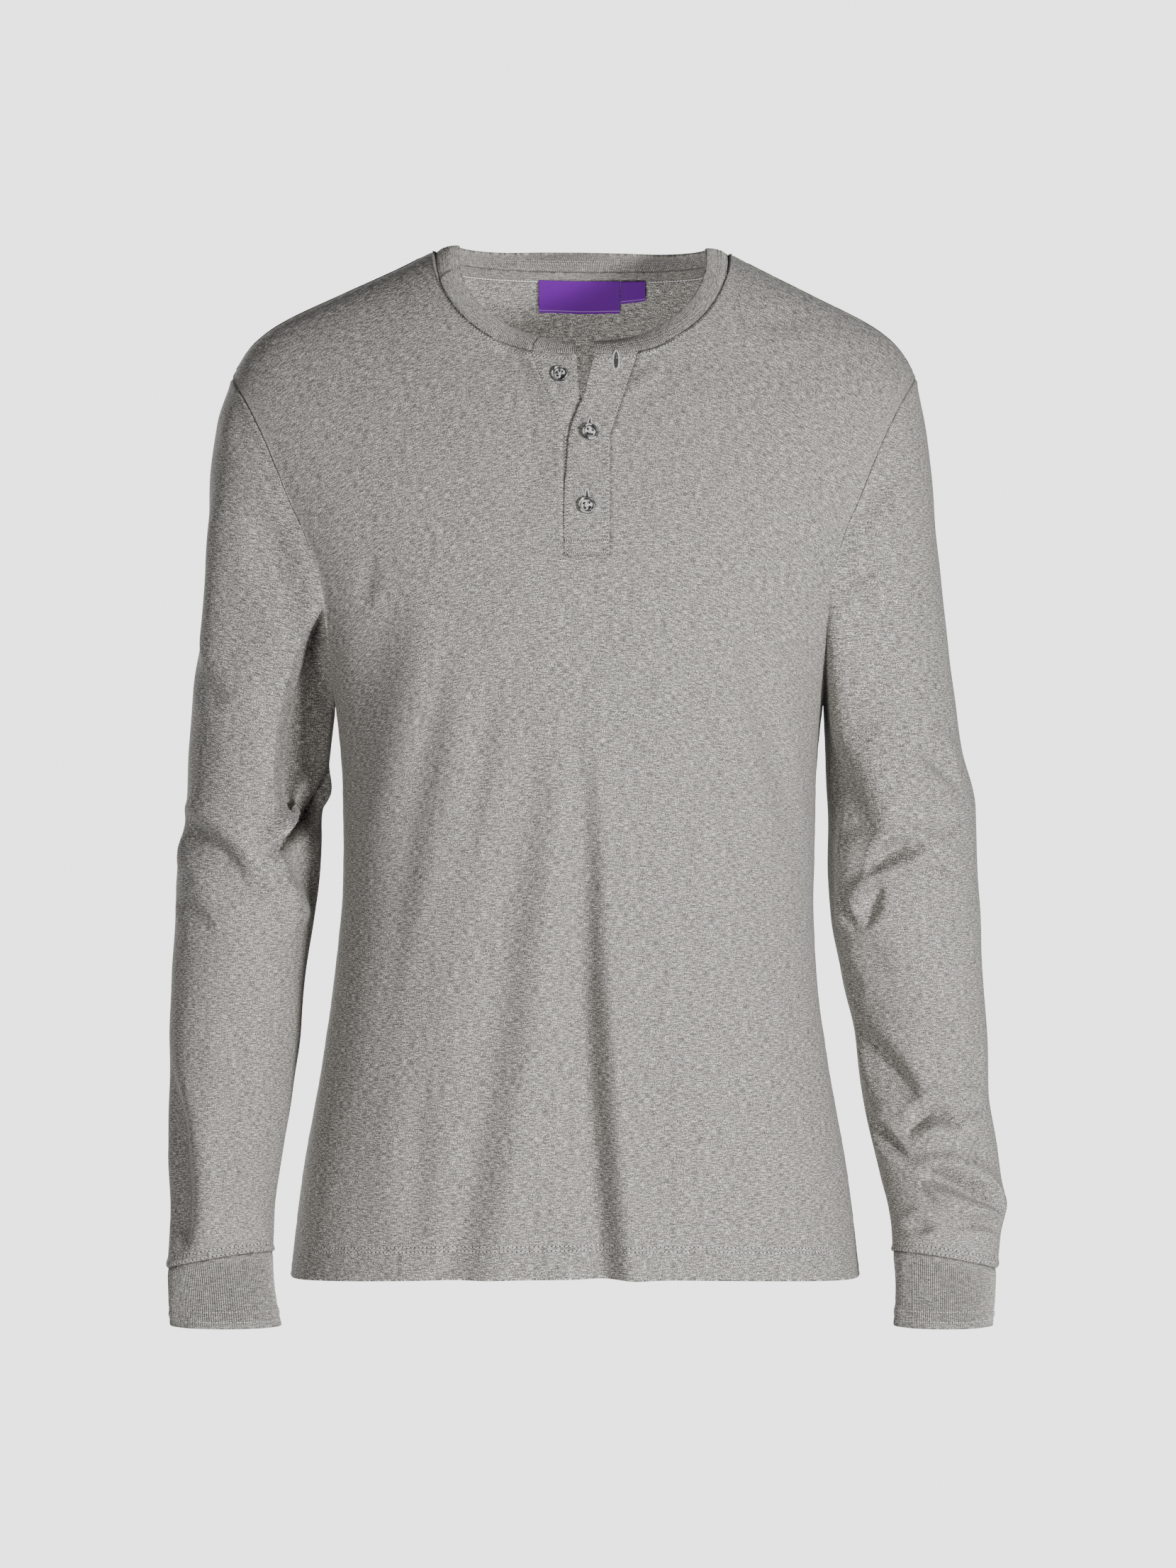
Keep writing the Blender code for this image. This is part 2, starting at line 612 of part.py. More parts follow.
def wall_faces(shape, keep, ring):
    """Triangles of a wall whose outer points come first and whose inner points follow."""
    rows, cols = shape
    count = rows * cols
    index = np.arange(count).reshape(rows, cols)
    right = np.roll(index, -1, axis=1)
    a, b, c, d = index[:-1], right[:-1], right[1:], index[1:]
    if not ring:
        a, b, c, d = (x[:, :-1] for x in (a, b, c, d))
    a, b, c, d = (x[keep] for x in (a, b, c, d))
    outer = np.concatenate([np.stack([a, b, c], 1), np.stack([a, c, d], 1)])
    edges = np.concatenate([np.stack(pair, 1) for pair in ((a, b), (b, c), (c, d), (d, a))])
    paired = set(map(tuple, edges))
    rim = np.array([edge for edge in map(tuple, edges) if edge[::-1] not in paired])
    p, q = rim[:, 0], rim[:, 1]
    sides = np.concatenate([np.stack([q, p, p + count], 1), np.stack([q, p + count, q + count], 1)])
    return np.concatenate([outer, outer[:, ::-1] + count, sides])


def add_piece(name, points, faces, material):
    """Adds a mesh object made of the points that its faces use."""
    used, faces = np.unique(faces, return_inverse=True)
    mesh = bpy.data.meshes.new(name)
    mesh.from_pydata(points[used].tolist(), [], faces.reshape(-1, 3).tolist())
    mesh.validate()
    mesh.shade_smooth()
    mesh.set_sharp_from_angle(angle=math.radians(50))
    mesh.materials.append(material)
    piece = bpy.data.objects.new(name, mesh)
    bpy.context.scene.collection.objects.link(piece)
    return piece


def add_cloth(name, outer, inward, thickness, material, keep=None, ring=False):
    """A wall of cloth: the outer grid, and the same grid moved along inward by the thickness."""
    if keep is None:
        keep = np.ones((outer.shape[0] - 1, outer.shape[1] - (0 if ring else 1)), bool)
    points = np.concatenate([outer.reshape(-1, 3), (outer + inward * thickness).reshape(-1, 3)])
    faces = wall_faces(outer.shape[:2], keep, ring)
    corners = points[faces]
    volume = np.einsum("ij,ij->i", corners[:, 0], np.cross(corners[:, 1], corners[:, 2])).sum()
    return add_piece(name, points, faces if volume > 0 else faces[:, ::-1], material)


def body_normal(side, across, height):
    """Outward directions of a body panel's outer face, from its slopes across and down."""
    step = 0.0004
    inward = np.where(across > 0, -step, step)
    here = body_surface(side, across, height)[..., 1]
    slope_across = (body_surface(side, across + inward, height)[..., 1] - here) / inward
    slope_up = (here - body_surface(side, across, height - step)[..., 1]) / step
    normal = np.stack([-side * slope_across, side * np.ones_like(here), -side * slope_up], axis=-1)
    return normal / np.linalg.norm(normal, axis=-1, keepdims=True)


def sway(points):
    """Shifts the shoulders and armholes, and the skirt, a little to one side."""
    outward = ease((np.abs(points[..., 0]) - 0.10) / 0.10)
    upward = ease((points[..., 2] - UNDERARM) / 0.12)
    downward = ease((SKIRT_SWAY_FROM - points[..., 2]) / 0.13)
    moved = points.copy()
    moved[..., 0] += SHOULDER_SWAY * outward * upward + SKIRT_SWAY * downward
    return moved


# ---------------------------------------------------------------- sleeves
PER_DEGREE = 0.00087      # metres round the sleeve for each degree, at its mean girth
LOOP_FADE = 0.24          # share of the sleeve over which the armhole's shape dies out


def armhole_loop(front, back, way):
    """The closed line where a sleeve is sewn in, from its lowest point up the front, down the back."""
    column_index = -1 if way > 0 else 0
    up_front = front[ROWS_LOWER:, column_index]
    down_back = back[ROWS_LOWER:, column_index][::-1]
    return np.concatenate([up_front, down_back[1:-1]])


def sleeve_ring(way, share, angle):
    """Points round a sleeve at one share of its length; the angle is 0 outside and 90 in front."""
    side_name = "left" if way > 0 else "right"
    tip = ridge(SHOULDER_HALF)
    outer_height = tip + (WRIST_OUTER - tip) * share
    inner_height = UNDERARM + (WRIST_INNER - UNDERARM) * share
    outer = read(SLEEVE_PATHS, "height", side_name + "_outer", outer_height)
    inner = read(SLEEVE_PATHS, "height", side_name + "_inner", inner_height)
    middle = read(SLEEVE_GIRTH, "share", "middle", share)
    depth = read(SLEEVE_GIRTH, "share", "half_depth", share)
    lean = (1 + np.cos(angle)) / 2
    across = way * (inner + (outer - inner) * lean)
    height = inner_height + (outer_height - inner_height) * lean
    height = height + WRIST_TILT * np.sin(angle) * ease((share - 0.6) / 0.4)
    return np.stack(np.broadcast_arrays(across, middle - depth * np.sin(angle), height), axis=-1)


def sleeve_surface(way, loop, shares, angle, folds):
    """A sleeve's outer face: one row of points for each share, starting as the armhole's loop."""
    share = shares[:, None]
    plain = sleeve_ring(way, share, angle[None, :])
    fade = 1 - ease(share / LOOP_FADE)[..., None]
    grid = plain + (loop - sleeve_ring(way, 0.0, angle))[None] * fade
    normal = grid_normals(grid, ring=True)
    outward = np.sign((normal * (grid - grid.mean(axis=1, keepdims=True))).sum())
    round_it = np.degrees(angle)[None, :] * PER_DEGREE
    relief = sum(fold_relief(in_metres(folds), round_it + turn * 360 * PER_DEGREE, grid[..., 2])
                 for turn in (-1, 0, 1))
    guard = ease(share / 0.10) * ease((1 - share) / 0.06)
    return grid + normal * (outward * relief * guard)[..., None]


def in_metres(folds):
    """Sleeve folds with their degrees round the sleeve turned into metres."""
    return [fold._replace(start=(fold.start[0] * PER_DEGREE, fold.start[1]),
                          bend=(fold.bend[0] * PER_DEGREE, fold.bend[1]),
                          end=(fold.end[0] * PER_DEGREE, fold.end[1])) for fold in folds]


def cuff_surface(way, wrist, shares, angle):
    """A cuff's outer face: rows from the sleeve's last ring to the cuff's open end."""
    side_name = "left" if way > 0 else "right"
    outer = way * read(SLEEVE_PATHS, "height", side_name + "_outer", CUFF_END)
    inner = way * read(SLEEVE_PATHS, "height", side_name + "_inner", CUFF_END)
    lean = (1 + np.cos(angle)) / 2
    end = np.stack([inner + (outer - inner) * lean,
                    CUFF_END_MIDDLE - CUFF_END_DEPTH * np.sin(angle),
                    np.full(angle.shape, CUFF_END)], axis=-1)
    share = shares[:, None, None]
    pinch = -0.0012 * np.sin(share * math.pi) * np.sign(wrist - wrist.mean(axis=0))[None] * [1, 1, 0]
    return wrist[None] + (end - wrist)[None] * share + pinch


# ---------------------------------------------------------------- placket
def placket_surface(over, height, share):
    """The outer face of a placket band at each height, and share of its width from seam to free edge."""
    left, right = slot_edges(height)
    edge = read(BAND_EDGES, "height", "over_edge" if over else "under_edge", height)
    seam = right if over else left
    across = seam + (edge - seam) * share
    y = stand_out(FRONT, across, height)
    y = y - fold_relief(FRONT_FOLDS, across, height) * seam_guard(across, height, FRONT)
    if over:
        open_part = ease((height - PLACKET_OPEN) / 0.060)
        out = (OVER_RISE + OVER_LIFT * open_part) * ease(share)
    else:
        covered = read(BAND_EDGES, "height", "over_edge", height)
        out = -UNDER_SINK * ease((across - covered + 0.0100) / 0.0060)
    return np.stack([across, y - out, height + 0.0 * across], axis=-1)


def placket_grid(over, front, slot_left, slot_right):
    """Rows of a band, at the heights of the front's points beside it, and columns across."""
    share = np.linspace(0, 1, PLACKET_COLUMNS + 1)[None, :]
    beside = front[:, slot_right if over else slot_left, 2][:, None]
    foot = front[0, slot_left:slot_right + 1]
    left, right = slot_edges(beside[:1])
    edge = read(BAND_EDGES, "height", "over_edge" if over else "under_edge", beside[:1])
    across = (right if over else left) * (1 - share) + edge * share
    bottom = np.interp(across[0], foot[:, 0], foot[:, 2])[None, :]
    top = neckline(FRONT, placket_surface(over, beside[-1:], share)[..., 0])
    climb = (beside - beside[0]) / (beside[-1] - beside[0])
    return placket_surface(over, bottom + (top - bottom) * climb, share)


# ---------------------------------------------------------------- neckband
def neckband_surface(seam, rows):
    """The neckband's outer face, from its seam to its folded edge, leaning in over the neck."""
    to_axis = np.array(NECK_AXIS) - seam[:, :2]
    inward = to_axis / np.linalg.norm(to_axis, axis=1, keepdims=True)
    compass = np.degrees(np.arccos(np.clip(inward[:, 1], -1, 1)))
    upright = read(BAND_LEAN, "angle", "upright", compass)
    flat = np.sqrt(1 - upright**2)
    direction = np.column_stack([inward * flat[:, None], upright])
    crown = np.column_stack([-inward * upright[:, None], flat])
    share = np.linspace(0, 1, rows + 1)[:, None, None]
    return (seam[None] + direction[None] * BAND_WIDTH * share
            + crown[None] * 0.0016 * np.sin(share * math.pi))


# ---------------------------------------------------------------- buttons
BUTTON_SIDES = 20
HOLE_SIDES = 6


class TurnRow(NamedTuple):
    """One step of a button's turned outline: its radius and height as shares of the button's."""

    radius: float
    height: float


BUTTON_OUTLINE = (
    TurnRow(0.88, 0.00),
    TurnRow(1.00, 0.30),
    TurnRow(0.97, 0.92),
    TurnRow(0.88, 1.00),
    TurnRow(0.78, 0.98),
    TurnRow(0.70, 0.78),
)


def circle(radius, sides, middle=(0.0, 0.0), twist=0.0):
    """Points round a circle in the flat."""
    turn = np.arange(sides) * 2 * math.pi / sides + twist
    return np.column_stack([middle[0] + radius * np.cos(turn), middle[1] + radius * np.sin(turn)])


def add_button(name, place, outward, material):
    """A round button with a raised rim and four holes through its dished middle."""
    radii = [row.radius * BUTTON_RADIUS for row in BUTTON_OUTLINE]
    heights = [row.height * BUTTON_HEIGHT for row in BUTTON_OUTLINE]
    spot = BUTTON_HOLE_OFFSET
    spots = [(x, y) for x in (-spot, spot) for y in (-spot, spot)]
    holes = [circle(BUTTON_HOLE_RADIUS, HOLE_SIDES, (x, y), 0.3 + 90 * x) for x, y in spots]
    rings = [np.column_stack([circle(r, BUTTON_SIDES), np.full(BUTTON_SIDES, h)])
             for r, h in zip(radii, heights)]
    points = rings + [np.column_stack([hole, np.full(HOLE_SIDES, h)])
                      for h in (heights[0], heights[-1]) for hole in holes]
    starts = np.cumsum([0] + [len(group) for group in points])
    points = np.concatenate(points)
    faces = []
    for k in range(len(rings) - 1):
        for i in range(BUTTON_SIDES):
            j = (i + 1) % BUTTON_SIDES
            faces += [(starts[k] + i, starts[k] + j, starts[k + 1] + j),
                      (starts[k] + i, starts[k + 1] + j, starts[k + 1] + i)]
    first = len(rings)
    for k in range(4):
        low, high = starts[first + k], starts[first + 4 + k]
        for i in range(HOLE_SIDES):
            j = (i + 1) % HOLE_SIDES
            faces += [(low + j, low + i, high + i), (low + j, high + i, high + j)]
    for ring, group, flip in ((0, first, True), (len(rings) - 1, first + 4, False)):
        index = list(range(starts[ring], starts[ring] + BUTTON_SIDES))
        loops = [[Vector(points[i]) for i in index]]
        for k in range(4):
            inner = list(range(starts[group + k], starts[group + k] + HOLE_SIDES))
            loops.append([Vector(points[i]) for i in inner])
            index += inner
        for a, b, c in tessellate_polygon(loops):
            tri = (index[a], index[b], index[c])
            p, q, r = points[list(tri)]
            upward = (q[0] - p[0]) * (r[1] - p[1]) - (q[1] - p[1]) * (r[0] - p[0]) > 0
            faces.append(tri if upward != flip else tri[::-1])
    up = outward / np.linalg.norm(outward)
    sideways = np.cross(up, [0.0, 0.0, 1.0])
    sideways /= np.linalg.norm(sideways)
    upright = np.cross(up, sideways)
    placed = place + points[:, :1] * sideways + points[:, 1:2] * upright + points[:, 2:] * up
    return add_piece(name, placed, np.array(faces), material)


# ---------------------------------------------------------------- materials
def cloth_material(name, colour, roughness):
    """A plain surface for one piece."""
    material = bpy.data.materials.new(name)
    material.use_nodes = True
    shader = material.node_tree.nodes["Principled BSDF"]
    shader.inputs["Base Color"].default_value = (*colour, 1.0)
    shader.inputs["Roughness"].default_value = roughness
    shader.inputs["Metallic"].default_value = 0.0
    material.diffuse_color = (*colour, 1.0)
    return material


JERSEY_GREY = (0.300, 0.300, 0.285)
PURPLE = (0.120, 0.025, 0.260)
PEARL_GREY = (0.180, 0.180, 0.175)


# ---------------------------------------------------------------- the shirt
def build_shirt():
    """Works out every piece's outer face, joins their normals at the seams, and adds the walls."""
    front_share, back_share = columns(FRONT), columns(BACK)
    front_map = panel_map(FRONT, front_share, ROWS_LOWER, ROWS_UPPER)
    back_map = panel_map(BACK, back_share, ROWS_LOWER, ROWS_UPPER)
    front, back = sway(body_surface(FRONT, *front_map)), sway(body_surface(BACK, *back_map))
    neck_left, slot_left = SIDE_COLUMNS, SIDE_COLUMNS + NECK_COLUMNS
    slot_right = slot_left + SLOT_COLUMNS
    neck_right = slot_right + NECK_COLUMNS
    slot_start = ROWS_LOWER + SLOT_ROW
    keep = np.ones((front.shape[0] - 1, front.shape[1] - 1), bool)
    keep[slot_start:, slot_left:slot_right] = False
    under = placket_grid(False, front[slot_start:], slot_left, slot_right)
    over = placket_grid(True, front[slot_start:], slot_left, slot_right)
    seam = np.concatenate([under[-1, :0:-1], front[-1, slot_left:neck_left:-1],
                           back[-1, neck_left:neck_left + BACK_NECK_COLUMNS],
                           front[-1, neck_right:slot_right:-1], over[-1]])

    body = [Piece("front_panel", front, JERSEY, keep=keep, normal=body_normal(FRONT, *front_map)),
            Piece("back_panel", back, JERSEY, normal=body_normal(BACK, *back_map))]
    for panel in body:
        panel.draw_in(np.s_[:, 0], np.s_[:, 1])
        panel.draw_in(np.s_[:, -1], np.s_[:, -2])
        panel.draw_in(np.s_[-1], np.s_[-2])
    body[0].draw_in(np.s_[slot_start:, slot_left], np.s_[slot_start:, slot_left - 1])
    body[0].draw_in(np.s_[slot_start:, slot_right], np.s_[slot_start:, slot_right + 1])
    slot = slice(slot_left, slot_right + 1)
    body[0].draw_in(np.s_[slot_start, slot], np.s_[slot_start - 1, slot])

    angle = np.radians(180 - np.arange(2 * ROWS_UPPER) * 180 / ROWS_UPPER)
    shares = np.linspace(0, 1, SLEEVE_RINGS + 1)
    arms = []
    for way, side, folds in ((-1, "right", RIGHT_SLEEVE_FOLDS), (1, "left", LEFT_SLEEVE_FOLDS)):
        sleeve = sleeve_surface(way, armhole_loop(front, back, way), shares, angle, folds)
        cuff = cuff_surface(way, sleeve[-1], np.linspace(0, 1, CUFF_RINGS + 1), angle)
        arms.append(Piece("sleeve_" + side, sleeve, JERSEY, ring=True))
        arms.append(Piece("cuff_" + side, cuff, RIB, ring=True))
        arms[-2].draw_in(np.s_[-1], np.s_[-2])
        arms[-2].draw_in(np.s_[0], np.s_[1])
        arms[-1].draw_in(np.s_[0], np.s_[1])

    bands = [Piece("placket_under", under, BAND_CLOTH), Piece("placket_over", over, BAND_CLOTH)]
    for band in bands:
        band.draw_in(np.s_[:, 0], np.s_[:, 1])
        band.draw_in(np.s_[0], np.s_[1])
        band.draw_in(np.s_[-1], np.s_[-2])
    bands[0].draw_in(np.s_[:, 0], np.s_[:, 1])
    neckband = Piece("neckband", neckband_surface(seam, BAND_ACROSS), RIB)
    neckband.draw_in(np.s_[0], np.s_[1])

    pieces = body + arms + bands + [neckband]
    join_normals(pieces)
    for piece in pieces:
        piece.add(JERSEY_GREY)
    add_inside_back(body[1])
    for number, row in enumerate(BUTTONS, 1):
        band = bands[1] if row.buttoned else bands[0]
        gap = np.linalg.norm(band.outer[..., [0, 2]] - [row.across, row.height], axis=-1)
        outward = band.normal[np.unravel_index(np.argmin(gap), gap.shape)]
        place = placket_spot(row) + outward * (LAYER_GAP + 0.0002)
        pearl = cloth_material("button %d" % number, PEARL_GREY, 0.35)
        add_button("button_%d" % number, place, outward, pearl)


def placket_spot(row):
    """The point on its band's outer face where a button's middle lies."""
    height = np.array([[row.height]])
    left, right = slot_edges(height)
    edge = read(BAND_EDGES, "height", "over_edge" if row.buttoned else "under_edge", height)
    seam = right if row.buttoned else left
    share = (row.across - seam) / (edge - seam)
    return placket_surface(row.buttoned, height, share)[0, 0]


class InsideRow(NamedTuple):
    """A piece inside the back: across, from its top to its bottom below the neckline, and its gap from it."""

    name: str
    left: float
    right: float
    top: float
    bottom: float
    gap: float
    columns: int
    rows: int


INSIDE_BACK = (
    InsideRow("neck_tape", -0.0920, 0.0955, 0.0006, 0.0078, 0.0005, 18, 1),
    InsideRow("neck_label", -0.0284, 0.0286, 0.0060, 0.0268, 0.0018, 6, 2),
    InsideRow("size_label", 0.0291, 0.0465, 0.0062, 0.0206, 0.0018, 2, 2),
)
INSIDE_CLOTH = 0.0010     # thickness of the tape and of each label


def add_inside_back(panel):
    """The neck tape and the bare labels, made from the back's own points, moved in."""
    for row in INSIDE_BACK:
        inner = panel.outer - panel.normal * (JERSEY + row.gap)
        across = np.linspace(row.left, row.right, row.columns + 1)[None, :]
        down = np.linspace(row.top, row.bottom, row.rows + 1)[:, None]
        place = find_in_grid(panel.outer, across + 0.0 * down, neckline(BACK, across) - down)
        lie = Piece(row.name, between_points(inner, *place), INSIDE_CLOTH)
        lie.normal = between_points(panel.normal, *place)
        lie.add(JERSEY_GREY if row.name == "neck_tape" else PURPLE, 0.8)


def find_in_grid(grid, across, height):
    """Fractional rows and columns of the points of a grid that lie at (across, height)."""
    row = np.full(across.shape, grid.shape[0] - 2.0)
    column_at = np.full(across.shape, (grid.shape[1] - 1) / 2)
    for _ in range(12):
        here = between_points(grid, row, column_at)
        by_row = between_points(grid, row + 0.01, column_at) - here
        by_column = between_points(grid, row, column_at + 0.01) - here
        gap_x, gap_z = across - here[..., 0], height - here[..., 2]
        area = by_row[..., 0] * by_column[..., 2] - by_row[..., 2] * by_column[..., 0]
        row = row + 0.01 * (gap_x * by_column[..., 2] - gap_z * by_column[..., 0]) / area
        column_at = column_at + 0.01 * (gap_z * by_row[..., 0] - gap_x * by_row[..., 2]) / area
        row = np.clip(row, 0, grid.shape[0] - 1.011)
        column_at = np.clip(column_at, 0, grid.shape[1] - 1.011)
    return row, column_at


def between_points(grid, row, column_at):
    """Values of a grid at fractional rows and columns."""
    row, column_at = np.broadcast_arrays(row, column_at)
    i = np.clip(np.floor(row).astype(int), 0, grid.shape[0] - 2)
    j = np.clip(np.floor(column_at).astype(int), 0, grid.shape[1] - 2)
    s, t = (row - i)[..., None], (column_at - j)[..., None]
    return ((1 - s) * (1 - t) * grid[i, j] + (1 - s) * t * grid[i, j + 1]
            + s * (1 - t) * grid[i + 1, j] + s * t * grid[i + 1, j + 1])


build_shirt()
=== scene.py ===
"""Dresses a long-sleeved henley shirt: heather jersey, fine ribs, seams, stitching, buttons and labels.

Frame: metres, +Z up, the front faces -Y and the wearer's left is +X. Every cloth piece is a closed
thin wall over its solid's form: a grid of points on its outer face, a rounded edge and an inner face.
"""

import logging
import math
from dataclasses import dataclass
from enum import Enum

import bpy
import numpy as np
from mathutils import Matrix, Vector


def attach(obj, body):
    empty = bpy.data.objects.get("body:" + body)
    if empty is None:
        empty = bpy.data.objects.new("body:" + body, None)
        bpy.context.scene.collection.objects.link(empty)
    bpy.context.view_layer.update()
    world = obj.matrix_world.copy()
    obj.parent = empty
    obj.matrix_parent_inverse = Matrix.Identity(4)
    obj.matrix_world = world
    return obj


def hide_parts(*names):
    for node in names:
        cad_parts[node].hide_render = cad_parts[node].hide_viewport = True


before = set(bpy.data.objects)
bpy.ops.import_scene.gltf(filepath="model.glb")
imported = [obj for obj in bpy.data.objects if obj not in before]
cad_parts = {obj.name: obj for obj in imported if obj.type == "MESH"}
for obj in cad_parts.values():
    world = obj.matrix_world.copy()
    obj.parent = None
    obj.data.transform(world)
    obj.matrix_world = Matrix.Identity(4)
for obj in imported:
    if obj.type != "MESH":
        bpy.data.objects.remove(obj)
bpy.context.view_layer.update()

LOG = logging.getLogger("henley_shirt")
Array = np.ndarray
Line = tuple[Array, Array]      # points along a line on the cloth, and the cloth's normals there
Socket = bpy.types.NodeSocket
Colour = tuple[float, float, float]
JERSEY = 0.0012                 # one layer of jersey, in metres
DOUBLE = 0.0018                 # doubled rib, and a placket band


class Side(Enum):
    """Which half of the body a panel covers; the value is the sign of its y."""

    FRONT = -1
    BACK = 1


class Arm(Enum):
    """Which arm a sleeve covers; the value is the sign of its x."""

    RIGHT = -1
    LEFT = 1


class FoldForm(Enum):
    """The section of a fold across its line."""

    ROLL = "sinks on one side of the line and swells on the other"
    TROUGH = "sinks along the line and swells a little on both sides"
    CREASE = "sinks sharply along the line"


# ---------------------------------------------------------------- curves and grids
@dataclass(frozen=True)
class Table:
    """Sizes row by row under named columns; the first column is the key the others are read at."""

    names: tuple[str, ...]
    rows: tuple[tuple[float, ...], ...]

    def read(self, name: str, at: Array | float) -> Array:
        """Reads a column between its rows by a monotone cubic, which never overshoots them.

        Args:
            name: the column.
            at: values of the key; beyond the table its end rows hold.

        Returns:
            The column's value at each key.
        """
        data = np.array(sorted(self.rows))
        knots, values = data[:, 0], data[:, self.names.index(name)]
        step = np.diff(knots)
        slope = np.diff(values) / step
        before, after = slope[:-1], slope[1:]
        same_way = before * after > 0
        total = np.where(same_way, before + after, 1.0)
        inner = np.where(same_way, 2 * before * after / total, 0.0)
        tangent = np.concatenate([[slope[0]], inner, [slope[-1]]])
        at = np.clip(at, knots[0], knots[-1])
        i = np.clip(np.searchsorted(knots, at, side="right") - 1, 0, len(step) - 1)
        s = (at - knots[i]) / step[i]
        return (
            values[i] * (1 + 2 * s) * (1 - s) ** 2
            + tangent[i] * step[i] * s * (1 - s) ** 2
            + values[i + 1] * s**2 * (3 - 2 * s)
            - tangent[i + 1] * step[i] * s**2 * (1 - s)
        )


def ease(x: Array | float) -> Array:
    """Goes smoothly from 0 at x = 0 to 1 at x = 1, by 3x^2 - 2x^3."""
    x = np.clip(x, 0.0, 1.0)
    return x * x * (3 - 2 * x)


def bell(x: Array | float, width: float) -> Array:
    """A bell curve of height 1 round x = 0."""
    return np.exp(-0.5 * (np.asarray(x) / width) ** 2)


def unit(vectors: Array) -> Array:
    """The vectors along the last axis, at length 1."""
    return vectors / np.maximum(np.linalg.norm(vectors, axis=-1, keepdims=True), 1e-12)


def refine(values: Array, times: int) -> Array:
    """Cuts each interval of a rising list into equal parts.

    Args:
        values: the list.
        times: parts for each interval.

    Returns:
        The longer list, which still holds every old value.
    """
    at = np.arange((len(values) - 1) * times + 1) / times
    return np.interp(at, np.arange(len(values)), values)


def nearest(values: Array, value: float) -> int:
    """Place in a list of the value nearest to the one given."""
    return int(np.argmin(np.abs(values - value)))


def grid_normals(grid: Array, ring: bool = False) -> Array:
    """Unit normals of a grid, from the cross product of its slopes across and up, facing outward.

    Args:
        grid: points, (rows, columns, 3).
        ring: whether the last column meets the first.

    Returns:
        One normal a point, away from the row's middle on a ring, and from the Z axis otherwise.
    """
    if ring:
        wide = np.concatenate([grid[:, -1:], grid, grid[:, :1]], axis=1)
        across = wide[:, 2:] - wide[:, :-2]
        away = grid - grid.mean(axis=1, keepdims=True)
    else:
        across = np.gradient(grid, axis=1)
        away = grid * [1.0, 1.0, 0.0]
    normal = unit(np.cross(across, np.gradient(grid, axis=0)))
    return normal * (1.0 if (normal * away).sum() > 0 else -1.0)


def between(grid: Array, row: Array, column: Array) -> Array:
    """Values of a grid at fractional rows and columns, mixed evenly from the four nearest.

    Args:
        grid: values, (rows, columns, any).
        row: fractional rows.
        column: fractional columns.

    Returns:
        One value for each pair of row and column.
    """
    row, column = np.broadcast_arrays(row, column)
    i = np.clip(np.floor(row).astype(int), 0, grid.shape[0] - 2)
    j = np.clip(np.floor(column).astype(int), 0, grid.shape[1] - 2)
    s, t = (row - i)[..., None], (column - j)[..., None]
    low = (1 - t) * grid[i, j] + t * grid[i, j + 1]
    high = (1 - t) * grid[i + 1, j] + t * grid[i + 1, j + 1]
    return (1 - s) * low + s * high


def lengths(points: Array) -> Array:
    """Distance from the first point along a line of points, or down each column of a grid of them."""
    return np.cumsum(np.linalg.norm(np.diff(points, axis=0, prepend=points[:1]), axis=-1), axis=0)


def along_line(values: Array, run: Array, at: Array) -> Array:
    """Points or normals of a line at distances along it, mixed evenly from the two nearest.

    Args:
        values: one for each point of the line, (points, 3).
        run: the distance of each point along the line.
        at: the distances to read.

    Returns:
        One value for each distance.
    """
    return np.column_stack([np.interp(at, run, values[:, k]) for k in range(3)])


def tube_faces(rings: int, sides: int, closed: bool = False) -> Array:
    """Four-cornered faces between neighbouring rings of points that are numbered ring after ring.

    Args:
        rings: how many rings.
        sides: points in a ring.
        closed: whether the last ring meets the first.

    Returns:
        The faces, (faces, 4).
    """
    steps = rings if closed else rings - 1
    i, j = (a.ravel() for a in np.meshgrid(np.arange(steps), np.arange(sides), indexing="ij"))
    ahead, beside = (i + 1) % rings, (j + 1) % sides
    return np.stack([i * sides + j, i * sides + beside, ahead * sides + beside, ahead * sides + j], 1)


def grid_faces(*corners: tuple[Array, Array]) -> Array:
    """Faces as (row, column) pairs, from the rows and the columns of each of their corners."""
    return np.stack([np.stack(corner, -1) for corner in corners], 1)


